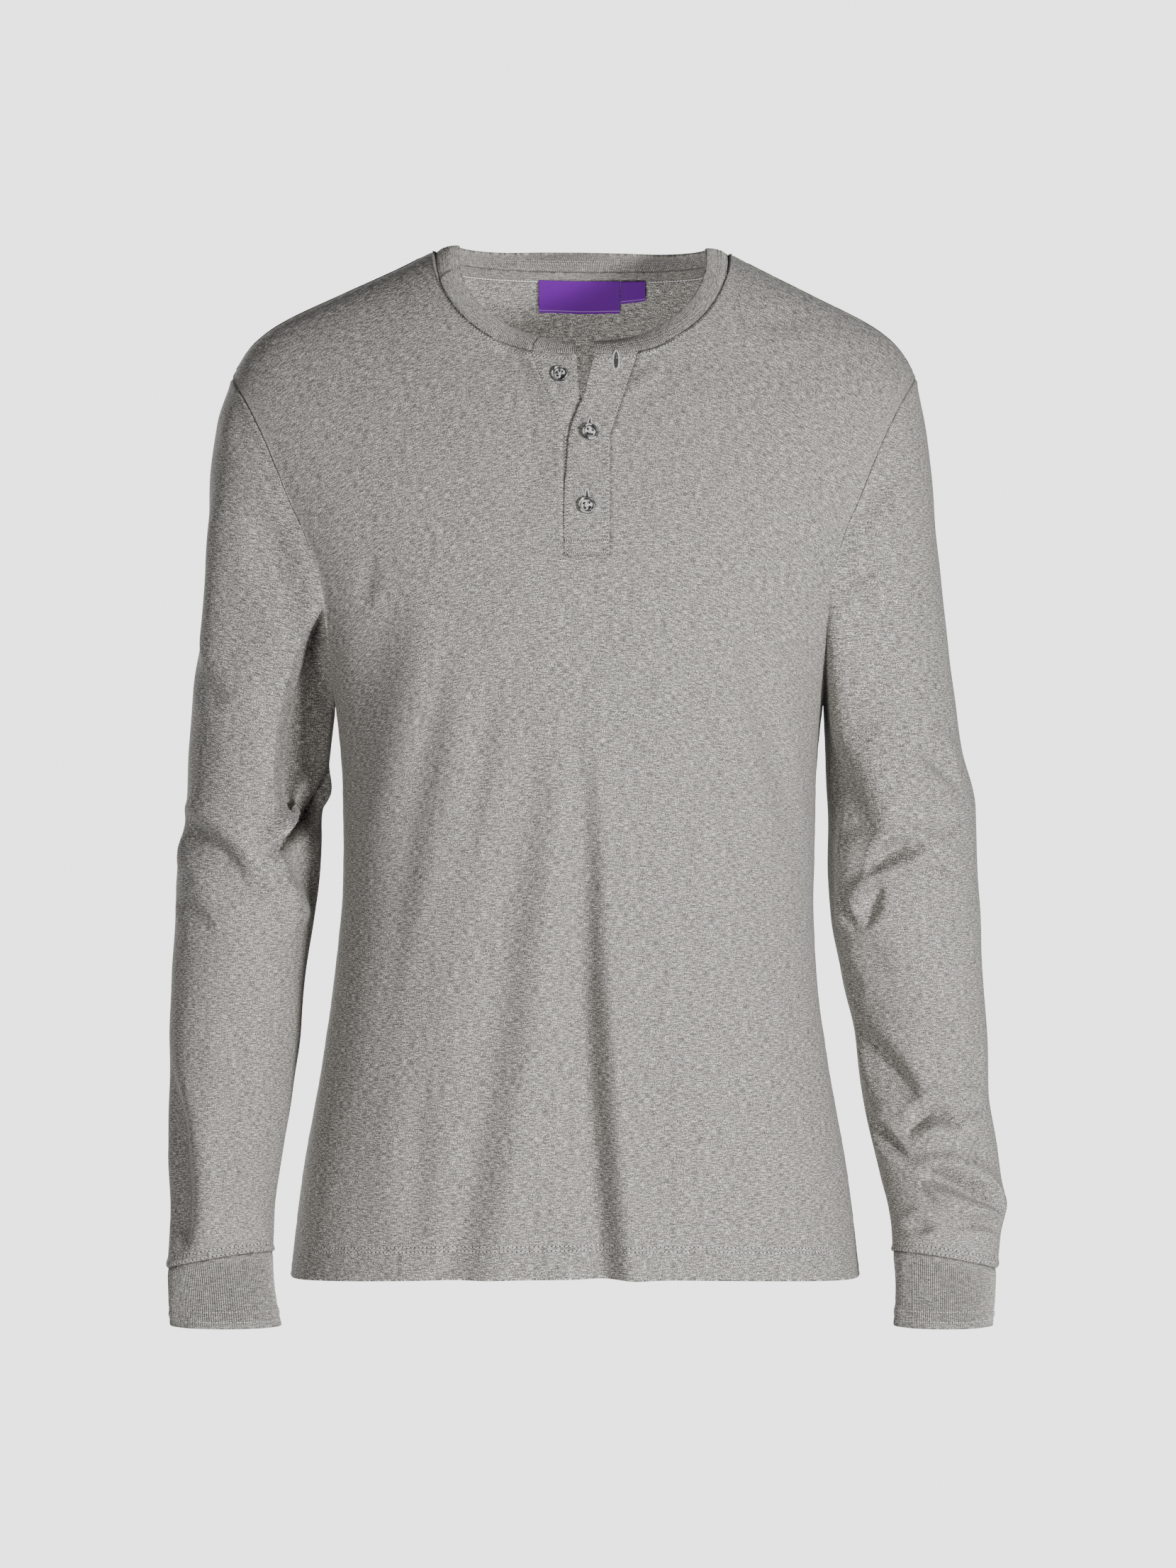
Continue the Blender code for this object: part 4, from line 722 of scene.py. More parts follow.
@dataclass(frozen=True)
class BodyForm:
    """The filled-out body: its sections and edges, and how its panels' points are spread."""

    hem_side: float = -0.7085
    hem_front: float = -0.6990
    hem_back: float = -0.7060
    underarm: float = -0.3050
    shoulder_half: float = 0.2355
    neck_half: float = 0.1012
    neck_middle: float = 0.0022
    neck_front_drop: float = 0.0780
    neck_back_drop: float = 0.0065
    placket_middle: float = 0.0052
    placket_half: float = 0.0153
    placket_end: float = -0.2192
    placket_open: float = -0.1370
    placket_top: tuple[float, float] = (-0.0323, 0.0398)
    shoulder_sway: float = -0.0035
    skirt_sway: float = -0.0028
    section_power: float = 2.3
    rows_lower: int = 15
    rows_upper: int = 14
    slot_row: int = 4
    side_columns: int = 9
    neck_columns: int = 7
    slot_columns: int = 2
    back_neck_columns: int = 12
    neck_share: float = 0.46
    slot_share: float = 0.058
    fine_rows: int = 6
    fine_columns: int = 5
    hem_depth: float = 0.0225
    hem_rows: tuple[float, float] = (0.0184, 0.0214)
    hem_scale: float = 0.400

    def ridge(self, across: Array | float) -> Array:
        """Height of the top of the shoulders this far across."""
        return RIDGE.read("height", np.abs(across))

    def stand_out(self, side: Side, across: Array, height: Array) -> Array:
        """y of the plain outer face: a superellipse in section that closes at the ridge.

        Args:
            side: front or back.
            across: across.
            height: height.

        Returns:
            y at each point.
        """
        reach = TORSO.read(side.name.lower(), height)
        half = TORSO.read("half_width", height)
        power = self.section_power
        section = (1 - np.clip(np.abs(across) / half, 0, 1) ** power) ** (1 / power)
        climb = np.clip((height - self.underarm) / (self.ridge(across) - self.underarm), 0, 1)
        return side.value * reach * section * np.sqrt(1 - climb**2)

    def neckline(self, side: Side, across: Array | float) -> Array:
        """Height of the neck seam: a level line between the neck points less a rounded drop.

        Args:
            side: front or back.
            across: across.

        Returns:
            The height at each point.
        """
        front = side is Side.FRONT
        drop = self.neck_front_drop if front else self.neck_back_drop
        power, root = (2.6, 0.49) if front else (2.2, 0.50)
        share = (across - self.neck_middle) / self.neck_half
        right, left = (self.ridge(self.neck_middle + way * self.neck_half) for way in (-1, 1))
        level = (1 + np.clip(share, -1, 1)) / 2
        rounded = (1 - np.clip(np.abs(share), 0, 1) ** power) ** root
        return right + (left - right) * level - drop * rounded

    def hem(self, side: Side, share: Array) -> Array:
        """Height of the hem at each share of the way across, by a power of a cosine."""
        middle = self.hem_front if side is Side.FRONT else self.hem_back
        return self.hem_side + (middle - self.hem_side) * np.cos(share * math.pi / 2) ** 1.5

    def columns(self, side: Side) -> Array:
        """Shares of the way across, from -1 to 1, one for each column of points."""
        outer = np.linspace(-1, -self.neck_share, self.side_columns + 1)
        if side is Side.FRONT:
            neck = np.linspace(-self.neck_share, -self.slot_share, self.neck_columns + 1)
            slot = np.linspace(-self.slot_share, self.slot_share, self.slot_columns + 1)
            coarse = np.concatenate([outer, neck[1:], slot[1:], -neck[-2::-1], -outer[-2::-1]])
        else:
            neck = np.linspace(-self.neck_share, self.neck_share, self.back_neck_columns + 1)
            coarse = np.concatenate([outer, neck[1:], -outer[-2::-1]])
        beside = 1 - np.array([0.0025, 0.006, 0.012])
        if side is Side.FRONT:
            around = np.array([-0.014, -0.008, -0.004, 0.004, 0.008, 0.014])
            beside = np.concatenate([beside, self.slot_share + around])
        fine = refine(coarse, self.fine_columns)
        return np.unique(np.concatenate([fine, beside, -beside]).round(9))

    def rows(self) -> tuple[Array, Array]:
        """Shares of the way up for each row: from the hem to the underarm, then from there to the top.

        Returns:
            The lower rows, with both ends, and the upper rows, without their foot.
        """
        even = refine(np.linspace(0, 1, self.rows_lower + 1), self.fine_rows)
        close = np.concatenate([np.arange(1, 9), np.arange(30, 48)]) * 0.0005
        stitched = np.concatenate([close, [0.006, 0.009, 0.012, 0.026]])
        lower = np.unique(np.concatenate([even, stitched / self.hem_scale]).round(9))
        even = refine(np.linspace(0, 1, self.rows_upper + 1), self.fine_rows)[1:]
        upper = np.unique(np.concatenate([even, 1 - np.array([0.0020, 0.0040, 0.0065, 0.009])]).round(9))
        return lower, upper

    def even_neck(self, side: Side, way: int, inner: float) -> Line:
        """The neckline from inner to a neck point, measured along its own length.

        Args:
            side: front or back.
            way: -1 or 1, for the right or the left neck point.
            inner: where it starts, across.

        Returns:
            Shares of the length, and across there.
        """
        turn = np.linspace(math.asin(abs(inner - self.neck_middle) / self.neck_half), math.pi / 2, 200)
        across = self.neck_middle + way * self.neck_half * np.sin(turn)
        height = self.neckline(side, across)
        along = lengths(np.column_stack([across, self.stand_out(side, across, height), height]))
        return along / along[-1], across

    def top_edge(self, side: Side, share: Array) -> Line:
        """(across, height) of a panel's top: shoulder seam, neckline, shoulder seam.

        Args:
            side: front or back.
            share: shares of the way across.

        Returns:
            across and height, for each share.
        """
        way = np.sign(share)
        neck_point = self.neck_middle + way * self.neck_half
        along = np.clip((np.abs(share) - self.neck_share) / (1 - self.neck_share), 0, 1)
        across = neck_point + (way * self.shoulder_half - neck_point) * along
        start = self.slot_share if side is Side.FRONT else 0.0
        in_neck = np.abs(share) < self.neck_share - 1e-9
        for half, corner in zip((-1, 1), self.placket_top):
            inner = corner if side is Side.FRONT else self.neck_middle
            length, line = self.even_neck(side, half, inner)
            place = np.clip((np.abs(share) - start) / (self.neck_share - start), 0, 1)
            here = in_neck & (way * half >= 0) & (np.abs(share) >= start - 1e-9)
            across = np.where(here, np.interp(place, length, line), across)
        height = np.where(in_neck, self.neckline(side, across), self.ridge(across))
        if side is Side.FRONT:
            part = (share + self.slot_share) / (2 * self.slot_share)
            in_slot = (part > 0) & (part < 1)
            left, right = self.placket_top
            low, high = self.neckline(side, left), self.neckline(side, right)
            across = np.where(in_slot, left + (right - left) * part, across)
            height = np.where(in_slot, low + (high - low) * part, height)
        return across, height

    def slot_edges(self, height: Array) -> Line:
        """The seams of the two placket bands, across, at each height."""
        edges = []
        for way, top in zip((-1, 1), self.placket_top):
            straight = self.placket_middle + way * self.placket_half
            span = self.neckline(Side.FRONT, top) - self.placket_open
            edges.append(straight + (top - straight) * np.clip((height - self.placket_open) / span, 0, 1))
        return edges[0], edges[1]

    def panel_map(self, side: Side) -> Line:
        """(across, height) of every point of a panel, hem row first, even round the armhole.

        Args:
            side: front or back.

        Returns:
            across and height, each (rows, columns).
        """
        share = self.columns(side)[None, :]
        arc = np.sin(share * math.pi / 2)
        lower, upper = self.rows()
        climb = lower[:, None]
        low_height = self.hem(side, share) + (self.underarm - self.hem(side, share)) * climb
        low_across = TORSO.read("half_width", low_height) * arc
        turn = upper[:, None]
        on_edge = np.sin(turn * math.pi / 2) ** 2
        rise = self.neckline(side, self.placket_middle) - self.underarm
        slot_climb, slot_turn = (self.placket_end - self.underarm) / rise, self.slot_row / self.rows_upper
        round_power = math.log(slot_climb) / math.log(math.sin(slot_turn * math.pi / 2))
        rounded = np.sin(turn * math.pi / 2) ** round_power
        even = turn ** (math.log(slot_climb) / math.log(slot_turn))
        roundness = ease((np.abs(share) - 0.20) / 0.24) if side is Side.FRONT else 1.0
        inside = even + (rounded - even) * roundness
        near_edge = np.abs(share) ** 4
        progress = inside + (on_edge - inside) * near_edge
        top_across, top_height = self.top_edge(side, share)
        narrowing = 1 - np.sqrt(1 - progress**2)
        spread = arc + 0.55 * (share - arc) * ease(progress / 0.35)
        width = (1 - narrowing) * spread + narrowing * top_across / self.shoulder_half
        flank = side.name.lower()
        high = self.underarm + (top_height - self.underarm) * progress
        high_across = ARMHOLE.read(flank, high) * width
        high = high + (self.ridge(high_across) - self.ridge(top_across)) * progress * (1 - near_edge)
        high_across = ARMHOLE.read(flank, high) * width
        across, height = np.vstack([low_across, high_across]), np.vstack([low_height, high])
        if side is Side.FRONT:
            across = self.open_slot(share, across, height)
        return across, height

    def open_slot(self, share: Array, across: Array, height: Array) -> Array:
        """Moves the columns beside the placket onto its seams, and each further one a little less.

        Args:
            share: shares of the way across, (1, columns).
            across: across of every point.
            height: height of every point.

        Returns:
            The new across.
        """
        left, right = self.slot_edges(height)
        at_left, at_right = (across[:, nearest(share[0], way * self.slot_share)][:, None] for way in (-1, 1))
        toward = np.clip((share + self.slot_share) / (2 * self.slot_share), 0, 1)
        shift = (left - at_left) * (1 - toward) + (right - at_right) * toward
        away = np.clip((np.abs(share) - self.slot_share) / (self.neck_share - self.slot_share), 0, 1)
        return across + shift * ease((height + 0.36) / 0.12) * (1 - away) ** 2

    def guard(self, side: Side, across: Array, height: Array) -> Array:
        """1 inside a panel and 0 at its seams, so that folds die out where pieces are sewn.

        Args:
            side: front or back.
            across: across.
            height: height.

        Returns:
            The share of each fold that stays.
        """
        half, edge = TORSO.read("half_width", height), ARMHOLE.read(side.name.lower(), height)
        from_side = ease((half - np.abs(across)) / 0.020)
        from_armhole = np.where(height > self.underarm, ease((edge - np.abs(across)) / 0.025), 1.0)
        return from_side * from_armhole * ease((self.ridge(across) - height) / 0.05)

    def sway(self, points: Array) -> Array:
        """Shifts the shoulders and the skirt a little to one side, as the shirt hangs."""
        across, height = points[..., 0], points[..., 2]
        outward = ease((np.abs(across) - 0.10) / 0.10) * ease((height - self.underarm) / 0.12)
        downward = ease((-0.40 - height) / 0.13)
        moved = points.copy()
        moved[..., 0] += self.shoulder_sway * outward + self.skirt_sway * downward
        return moved


FORM = BodyForm()


@dataclass
class BodyPanel:
    """The front or the back, from side seam to side seam and from hem to shoulders."""

    side: Side
    folds: tuple[Fold, ...]
    seed: float

    def relief(self, across: Array, height: Array) -> Array:
        """Everything that moves the cloth out of its plain form: folds, softness and the hem's rows.

        Args:
            across: across.
            height: height.

        Returns:
            Metres outward.
        """
        folds = sum(fold.relief(across, height) for fold in self.folds)
        total = (folds + softness(across, height, self.seed)) * FORM.guard(self.side, across, height)
        share = np.arcsin(np.clip(across / TORSO.read("half_width", height), -1, 1)) * 2 / math.pi
        hem = FORM.hem(self.side, share)
        above = (height - hem) / (FORM.underarm - hem) * FORM.hem_scale
        pucker = 0.00022 * np.sin(across * 520 + 3 * np.sin(across * 61)) * bell(above - 0.016, 0.007)
        rows = 0.00035 * sum(bell(above - row, 0.0008) for row in FORM.hem_rows)
        return total + pucker - rows

    def wall(self) -> Wall:
        """The panel as a wall, with the slot for the placket left out of the front."""
        across, height = FORM.panel_map(self.side)
        depth = FORM.stand_out(self.side, across, height) + self.side.value * self.relief(across, height)
        outer = FORM.sway(np.stack([across, depth, height], axis=-1))
        middle = outer.shape[1] // 2
        run = lengths(outer[..., :2].swapaxes(0, 1)).T
        tilt = 1.6 * across**2 * ease((height + 0.50) / 0.22)
        cloth = np.stack([run - run[:, middle:middle + 1] + self.side.value, height + tilt], axis=-1)
        above = height - FORM.hem(self.side, FORM.columns(self.side)[None, :])
        thickness = JERSEY + 0.0007 * (1 - ease((above - FORM.hem_depth) / 0.004))
        name = self.side.name.lower() + "_cloth"
        wall = Wall(name, outer, grid_normals(outer), thickness, cloth, round_foot=1.0)
        from_top = wall.distance("top")
        from_side = np.minimum(wall.distance("first"), wall.distance("last"))
        # distance from the seams, beside which the finish paints the groove's shade
        wall.seam = np.minimum(from_top, from_side)
        relief = sewn(from_top, across)
        relief += sewn(from_side, height)
        if self.side is Side.FRONT:
            left, right = self.slot_columns()
            wall.keep = np.ones((outer.shape[0] - 1, outer.shape[1] - 1), bool)
            wall.keep[self.slot_start():, left:right] = False
            slot = FORM.slot_edges(height)
            edges = np.hypot(np.maximum(np.maximum(slot[0] - across, across - slot[1]), 0),
                             np.maximum(FORM.placket_end - height, 0))
            # the placket's seams get a weaker painted groove shade
            wall.seam = np.minimum(wall.seam, edges + 0.0005)
            relief += sewn(edges, height, 0.003)
        wall.emboss(relief)
        return wall

    def slot_start(self) -> int:
        """The row at the placket's lower end."""
        lower, upper = FORM.rows()
        return len(lower) + nearest(upper, FORM.slot_row / FORM.rows_upper)

    def slot_columns(self) -> tuple[int, int]:
        """The columns of the placket's two seams."""
        columns = FORM.columns(self.side)
        return nearest(columns, -FORM.slot_share), nearest(columns, FORM.slot_share)

    def neck_columns(self) -> tuple[int, int]:
        """The columns of the two neck points."""
        columns = FORM.columns(self.side)
        return nearest(columns, -FORM.neck_share), nearest(columns, FORM.neck_share)


# ---------------------------------------------------------------- sleeves and cuffs
SLEEVE_PATHS = Table(
    ("height", "right_outer", "left_outer", "right_inner", "left_inner"),
    (
        (-0.0905, 0.2390, 0.2320, 0.1650, 0.1650),
        (-0.1225, 0.2499, 0.2382, 0.1660, 0.1660),
        (-0.1715, 0.2558, 0.2446, 0.1670, 0.1670),
        (-0.2204, 0.2578, 0.2490, 0.1680, 0.1680),
        (-0.2694, 0.2623, 0.2544, 0.1690, 0.1690),
        (-0.3087, 0.2672, 0.2594, 0.1704, 0.1702),
        (-0.3479, 0.2702, 0.2648, 0.1741, 0.1708),
        (-0.3871, 0.2718, 0.2742, 0.1776, 0.1712),
        (-0.4264, 0.2777, 0.2757, 0.1786, 0.1715),
        (-0.4655, 0.2794, 0.2774, 0.1833, 0.1742),
        (-0.5046, 0.2810, 0.2786, 0.1899, 0.1816),
        (-0.5434, 0.2824, 0.2809, 0.1922, 0.1906),
        (-0.5820, 0.2813, 0.2813, 0.1974, 0.1946),
        (-0.6204, 0.2815, 0.2864, 0.2033, 0.2020),
        (-0.6394, 0.2806, 0.2884, 0.2058, 0.2064),
        (-0.6584, 0.2796, 0.2919, 0.2074, 0.2109),
        (-0.6773, 0.2792, 0.2876, 0.2080, 0.2130),
        (-0.6962, 0.2798, 0.2848, 0.2084, 0.2138),
        (-0.7152, 0.2787, 0.2802, 0.2060, 0.2132),
        (-0.7368, 0.2773, 0.2806, 0.2020, 0.2134),
    ),
)
SLEEVE_GIRTH = Table(
    ("share", "middle", "half_depth"),
    (
        (0.00, 0.0010, 0.0560),
        (0.15, 0.0010, 0.0600),
        (0.30, 0.0020, 0.0620),
        (0.45, 0.0040, 0.0590),
        (0.60, 0.0020, 0.0520),
        (0.80, -0.0190, 0.0430),
        (0.93, -0.0390, 0.0350),
        (1.00, -0.0500, 0.0275),
    ),
)


RIGHT_FLANK = Table(
    ("height", "ridge", "depth"),
    (
        (-0.60, 165, 0.000),
        (-0.56, 160, 0.004),
        (-0.47, 142, 0.014),
        (-0.42, 124, 0.022),
        (-0.385, 110, 0.050),
        (-0.34, 108, 0.058),
        (-0.28, 109, 0.056),
        (-0.23, 120.0, 0.036),
        (-0.19, 124.0, 0.012),
        (-0.15, 124.0, 0.000),
    ),
)
LEFT_FLANK = Table(
    ("height", "ridge", "depth"),
    (
        (-0.52, 152, 0.000),
        (-0.46, 152, 0.012),
        (-0.40, 150, 0.020),
        (-0.34, 148, 0.020),
        (-0.28, 144, 0.010),
        (-0.24, 142, 0.000),
    ),
)


@dataclass
class Sleeve:
    """One sleeve, a tube from the armhole to the cuff's seam, whose inner flank falls back from a ridge."""

    arm: Arm
    folds: tuple[Fold, ...]
    flank: Table
    rings: int = 232
    length: float = 0.62
    wrist_outer: float = -0.7005
    wrist_inner: float = -0.6885
    wrist_tilt: float = 0.0045
    per_degree: float = 0.00087
    loop_fade: float = 0.24

    def angles(self, count: int) -> Array:
        """Directions round the sleeve: from inside, over the front and outside, to the back."""
        return math.pi - np.arange(count) * 2 * math.pi / count

    def ring(self, share: Array | float, angle: Array) -> Array:
        """Points round the plain sleeve: ellipses between its inner and its outer edge.

        Args:
            share: share of its length.
            angle: directions round it.

        Returns:
            The points.
        """
        name, way = self.arm.name.lower(), self.arm.value
        tip = FORM.ridge(FORM.shoulder_half)
        outer_height = tip + (self.wrist_outer - tip) * share
        inner_height = FORM.underarm + (self.wrist_inner - FORM.underarm) * share
        outer = SLEEVE_PATHS.read(name + "_outer", outer_height)
        inner = SLEEVE_PATHS.read(name + "_inner", inner_height)
        lean = (1 + np.cos(angle)) / 2
        height = inner_height + (outer_height - inner_height) * lean
        height = height + self.wrist_tilt * np.sin(angle) * ease((np.asarray(share) - 0.6) / 0.4)
        depth = SLEEVE_GIRTH.read("middle", share) - SLEEVE_GIRTH.read("half_depth", share) * np.sin(angle)
        return np.stack(np.broadcast_arrays(way * (inner + (outer - inner) * lean), depth, height), axis=-1)

    def fallen(self, angle: Array, grid: Array) -> Array:
        """How far the flank falls back: straight back at its ridge, then level, and out again behind.

        Args:
            angle: directions round the sleeve.
            grid: the points that it moves.

        Returns:
            The way of each point.
        """
        turn, height = np.mod(angle, 2 * math.pi), grid[..., 2]
        ridge, depth = np.radians(self.flank.read("ridge", height)), self.flank.read("depth", height)
        past = turn - ridge
        half = np.ptp(grid[..., 0], axis=1)[:, None] / 2
        held = (past > 0) * (1 - ease((past - 0.20) / 0.75)) * np.minimum(depth / 0.045, 1)
        sideways = -self.arm.value * half * (np.cos(turn) - np.cos(ridge)) * held
        backward = depth * ease(past / 0.18) * ease((3.93 - turn) / 1.92)
        return np.stack([sideways, backward, 0.0 * height], axis=-1)

    def wall(self, front: Wall, back: Wall) -> Wall:
        """The sleeve, which starts as the armhole's own line and turns into the plain tube.

        Args:
            front: the front panel.
            back: the back panel.

        Returns:
            The sleeve as a wall, armhole row first.
        """
        start, edge = len(FORM.rows()[0]) - 1, -1 if self.arm is Arm.LEFT else 0
        loop = np.concatenate([front.outer[start:, edge], back.outer[start:, edge][::-1][1:-1]])
        angle = self.angles(len(loop))
        beside = np.array([0.0005, 0.0010, 0.0018, 0.0026]) / self.length
        sewn_rows = 1 - np.arange(1, 17) * 0.0005 / self.length
        even = np.linspace(0, 1, 1001)
        dense = np.cumsum(1 + 1.5 * bell(even - 0.50, 0.10) + 1.6 * bell(even - 0.90, 0.09))
        spread = np.interp(np.linspace(dense[0], dense[-1], self.rings + 1), dense, even)
        share = np.unique(np.concatenate([spread, beside, sewn_rows]).round(9))[:, None]
        plain = self.ring(share, angle[None, :])
        plain = plain + (loop - self.ring(0.0, angle))[None] * (1 - ease(share / self.loop_fade))[..., None]
        grid = plain + self.fallen(angle[None, :], plain) * ease(share / 0.05)[..., None]
        normal = grid_normals(grid, ring=True)
        around = np.degrees(angle)[None, :] * self.per_degree
        relief = softness(grid[..., 1], grid[..., 2], 5.0 + self.arm.value)
        for turn in (-360, 0, 360):
            relief = relief + sum(fold.relief(around + turn * self.per_degree, grid[..., 2], self.per_degree)
                                  for fold in self.folds)
        relief = relief * ease(share / 0.06) * ease((1 - share) / 0.05)
        near_armhole = 1 - ease(share / self.loop_fade)
        relief = relief + (sewn(share * self.length, around) - sewn(0.0, 0.0)) * near_armhole
        relief = relief + sewn((1 - share) * self.length, around, 0.014)
        above = (1 - share) * self.length
        relief = relief + 0.0007 * bell(above - 0.0042, 0.0022)
        outer = grid + normal * relief[..., None]
        seam = np.broadcast_to(np.minimum(share, 1 - share + 0.001) * self.length, relief.shape)
        name = "sleeve_" + self.arm.name.lower() + "_cloth"
        cloth = self.cloth_map(plain, share, nearest(angle, math.pi / 2))
        return Wall(name, outer, grid_normals(outer, ring=True), JERSEY, cloth, ring=True, seam=seam)

    def cloth_map(self, grid: Array, share: Array, front: int) -> Array:
        """Metres along the cloth: the direction round the sleeve's middle times its radius, and the height.

        Args:
            grid: the sleeve's points, before its flank falls back.
            share: share of its length of each row.
            front: the column in front.

        Returns:
            The map, with one column more than the grid.
        """
        points = np.concatenate([grid, grid[:, :1]], axis=1)
        name, height = self.arm.name.lower(), points[..., 2]
        middle = (SLEEVE_PATHS.read(name + "_outer", height) + SLEEVE_PATHS.read(name + "_inner", height)) / 2
        sideways = self.arm.value * points[..., 0] - middle
        turn = np.unwrap(np.arctan2(SLEEVE_GIRTH.read("middle", share) - points[..., 1], sideways), axis=1)
        turn = turn - 2 * math.pi * np.round((turn[:, front:front + 1] - math.pi / 2) / 2 / math.pi)
        slant = -0.25 * sideways * ease((height + 0.42) / 0.12) if self.arm is Arm.RIGHT else 0.0
        return np.stack([0.056 * turn, height + slant + 2.0 + self.arm.value / 3], axis=-1)


@dataclass
class Cuff:
    """A doubled rib cuff, gathered a little at its seam."""

    sleeve: Sleeve
    end: float = -0.7368
    end_middle: float = -0.0575
    end_depth: float = 0.0255
    ribs: int = 150
    rib_depth: float = 0.00032
    rows: int = 20

    def wall(self) -> Wall:
        """The cuff as a wall: rings from the seam to the open end, with ribs as a cosine round it."""
        name, way = self.sleeve.arm.name.lower(), self.sleeve.arm.value
        count = self.ribs * 4
        angle = self.sleeve.angles(count)
        wrist = self.sleeve.ring(1.0, angle)
        lean = (1 + np.cos(angle)) / 2
        outer_edge = SLEEVE_PATHS.read(name + "_outer", self.end)
        inner_edge = SLEEVE_PATHS.read(name + "_inner", self.end)
        end = np.stack([way * (inner_edge + (outer_edge - inner_edge) * lean),
                        self.end_middle - self.end_depth * np.sin(angle), np.full(count, self.end)], axis=-1)
        share = np.linspace(0, 1, self.rows + 1)[:, None, None]
        grid = wrist[None] + (end - wrist)[None] * share
        normal = grid_normals(grid, ring=True)
        down = share[..., 0]
        rib = np.cos(np.arange(count) * math.pi / 2)[None, :] * self.rib_depth
        rib = rib * (1 - 0.6 * bell(down - 0.03, 0.04)) * (1 - 0.7 * bell(down - 1.0, 0.03))
        sewn = 0.00035 * (bell(down - 0.72, 0.022) + bell(down - 0.90, 0.022)) + 0.0005 * bell(down, 0.03)
        swell = 0.0004 * bell(down - 0.81, 0.04) - 0.0009 * np.sin(down * math.pi)
        turn = angle[None, :]
        wavy = 0.0011 * np.sin(3 * turn + 1.0) * np.sin(down * math.pi) + 0.0005 * np.sin(7 * turn) * down
        outer = grid + normal * (rib - sewn + swell + wavy)[..., None]
        run = np.linspace(0, 0.19, count + 1)[None, :] + 0.0 * down
        rib = rib + 0.0 * down
        cloth = np.stack([run, down * 0.04 + 4.0 + way / 5 + 0.0 * run], axis=-1)
        crest = np.broadcast_to(rib / self.rib_depth, run.shape[:1] + (count,))
        return Wall("cuff_" + name + "_rib", outer, normal, DOUBLE, cloth, ring=True, round_top=1.0,
                    inner_relief=2 * rib, rib=crest, seam=down * 0.045 + 0.0 * rib)


# ---------------------------------------------------------------- placket and neckband
@dataclass
class PlacketBand:
    """One band of the placket, from its seam to its free edge; the over band has the buttonholes."""

    over: bool
    rise: float = 0.0003
    sink: float = 0.0019
    lift: float = 0.0045
    rows: int = 20

    def surface(self, height: Array, share: Array) -> Array:
        """Points of the band: the chest's own form and folds, raised or sunk as the bands overlap.

        Args:
            height: heights.
            share: shares of the width, 0 at the seam and 1 at the free edge.

        Returns:
            The points.
        """
        left, right = FORM.slot_edges(height)
        seam = right if self.over else left
        edge = BAND_EDGES.read("over" if self.over else "under", height)
        across = seam + (edge - seam) * share
        folds = sum(fold.relief(across, height) for fold in FRONT_FOLDS)
        y = FORM.stand_out(Side.FRONT, across, height) - folds * FORM.guard(Side.FRONT, across, height)
        if self.over:
            opening = ease((height - FORM.placket_open) / 0.060)
            out = (self.rise + self.lift * opening) * ease(share) - 0.0003 * bell(share - 1, 0.04)
            out = out - 0.00022 * bell(share - 0.90, 0.035)
            out = out + 0.0004 * np.sin(height * 130 + 0.7) * ease(share) * (1 - opening)
        else:
            covered = BAND_EDGES.read("over", height)
            out = -self.sink * ease((across - covered + 0.0100) / 0.0060)
        out = out - 0.00030 * bell(share, 0.05) + 0.00025 * bell(share - 0.10, 0.04)
        foot = height - FORM.placket_end
        out = out - 0.00020 * (bell(foot - 0.0006, 0.0009) + bell(foot - 0.0092, 0.0009))
        return np.stack([across, y - out, height + 0.0 * across], axis=-1)

    def wall(self, front: Wall, panel: BodyPanel) -> Wall:
        """The band as a wall whose rows run from the seam to the free edge.

        Args:
            front: the front panel's wall.
            panel: the front panel.

        Returns:
            The band.
        """
        start, (left_column, right_column) = panel.slot_start(), panel.slot_columns()
        share = np.linspace(0, 1, self.rows + 1)[:, None]
        beside = front.outer[start:, right_column if self.over else left_column, 2]
        beside = refine(beside, 2)[None, :]
        foot = front.outer[start, left_column:right_column + 1]
        bottom_line = self.surface(beside[:, :1], share)[..., 0]
        bottom = np.interp(bottom_line, foot[:, 0], foot[:, 2])
        top = FORM.neckline(Side.FRONT, self.surface(beside[:, -1:], share)[..., 0])
        climb = (beside - beside[:, :1]) / (beside[:, -1:] - beside[:, :1])
        outer = self.surface(bottom + (top - bottom) * climb, share)
        normal = grid_normals(outer)
        cloth = np.stack([outer[..., 0] + (6.0 if self.over else 7.0), outer[..., 2]], axis=-1)
        name = "placket_over_cloth" if self.over else "placket_under_cloth"
        return Wall(name, outer, normal, DOUBLE, cloth, round_top=1.0)

    def spot(self, across: float, height: float) -> Line:
        """A point on the band's face and the normal there, from the slopes of its surface.

        Args:
            across: across.
            height: height.

        Returns:
            The point and the normal.
        """
        seam = FORM.slot_edges(np.array(height))[1 if self.over else 0]
        edge = BAND_EDGES.read("over" if self.over else "under", height)
        share = np.array([(across - seam) / (edge - seam)])
        here, beside, above = (self.surface(np.array([height + dz]), share + ds)[0]
                               for dz, ds in ((0, 0), (0, 0.05), (0.001, 0)))
        normal = unit(np.cross(beside - here, above - here))
        return here, normal * (1.0 if normal[1] < 0 else -1.0)


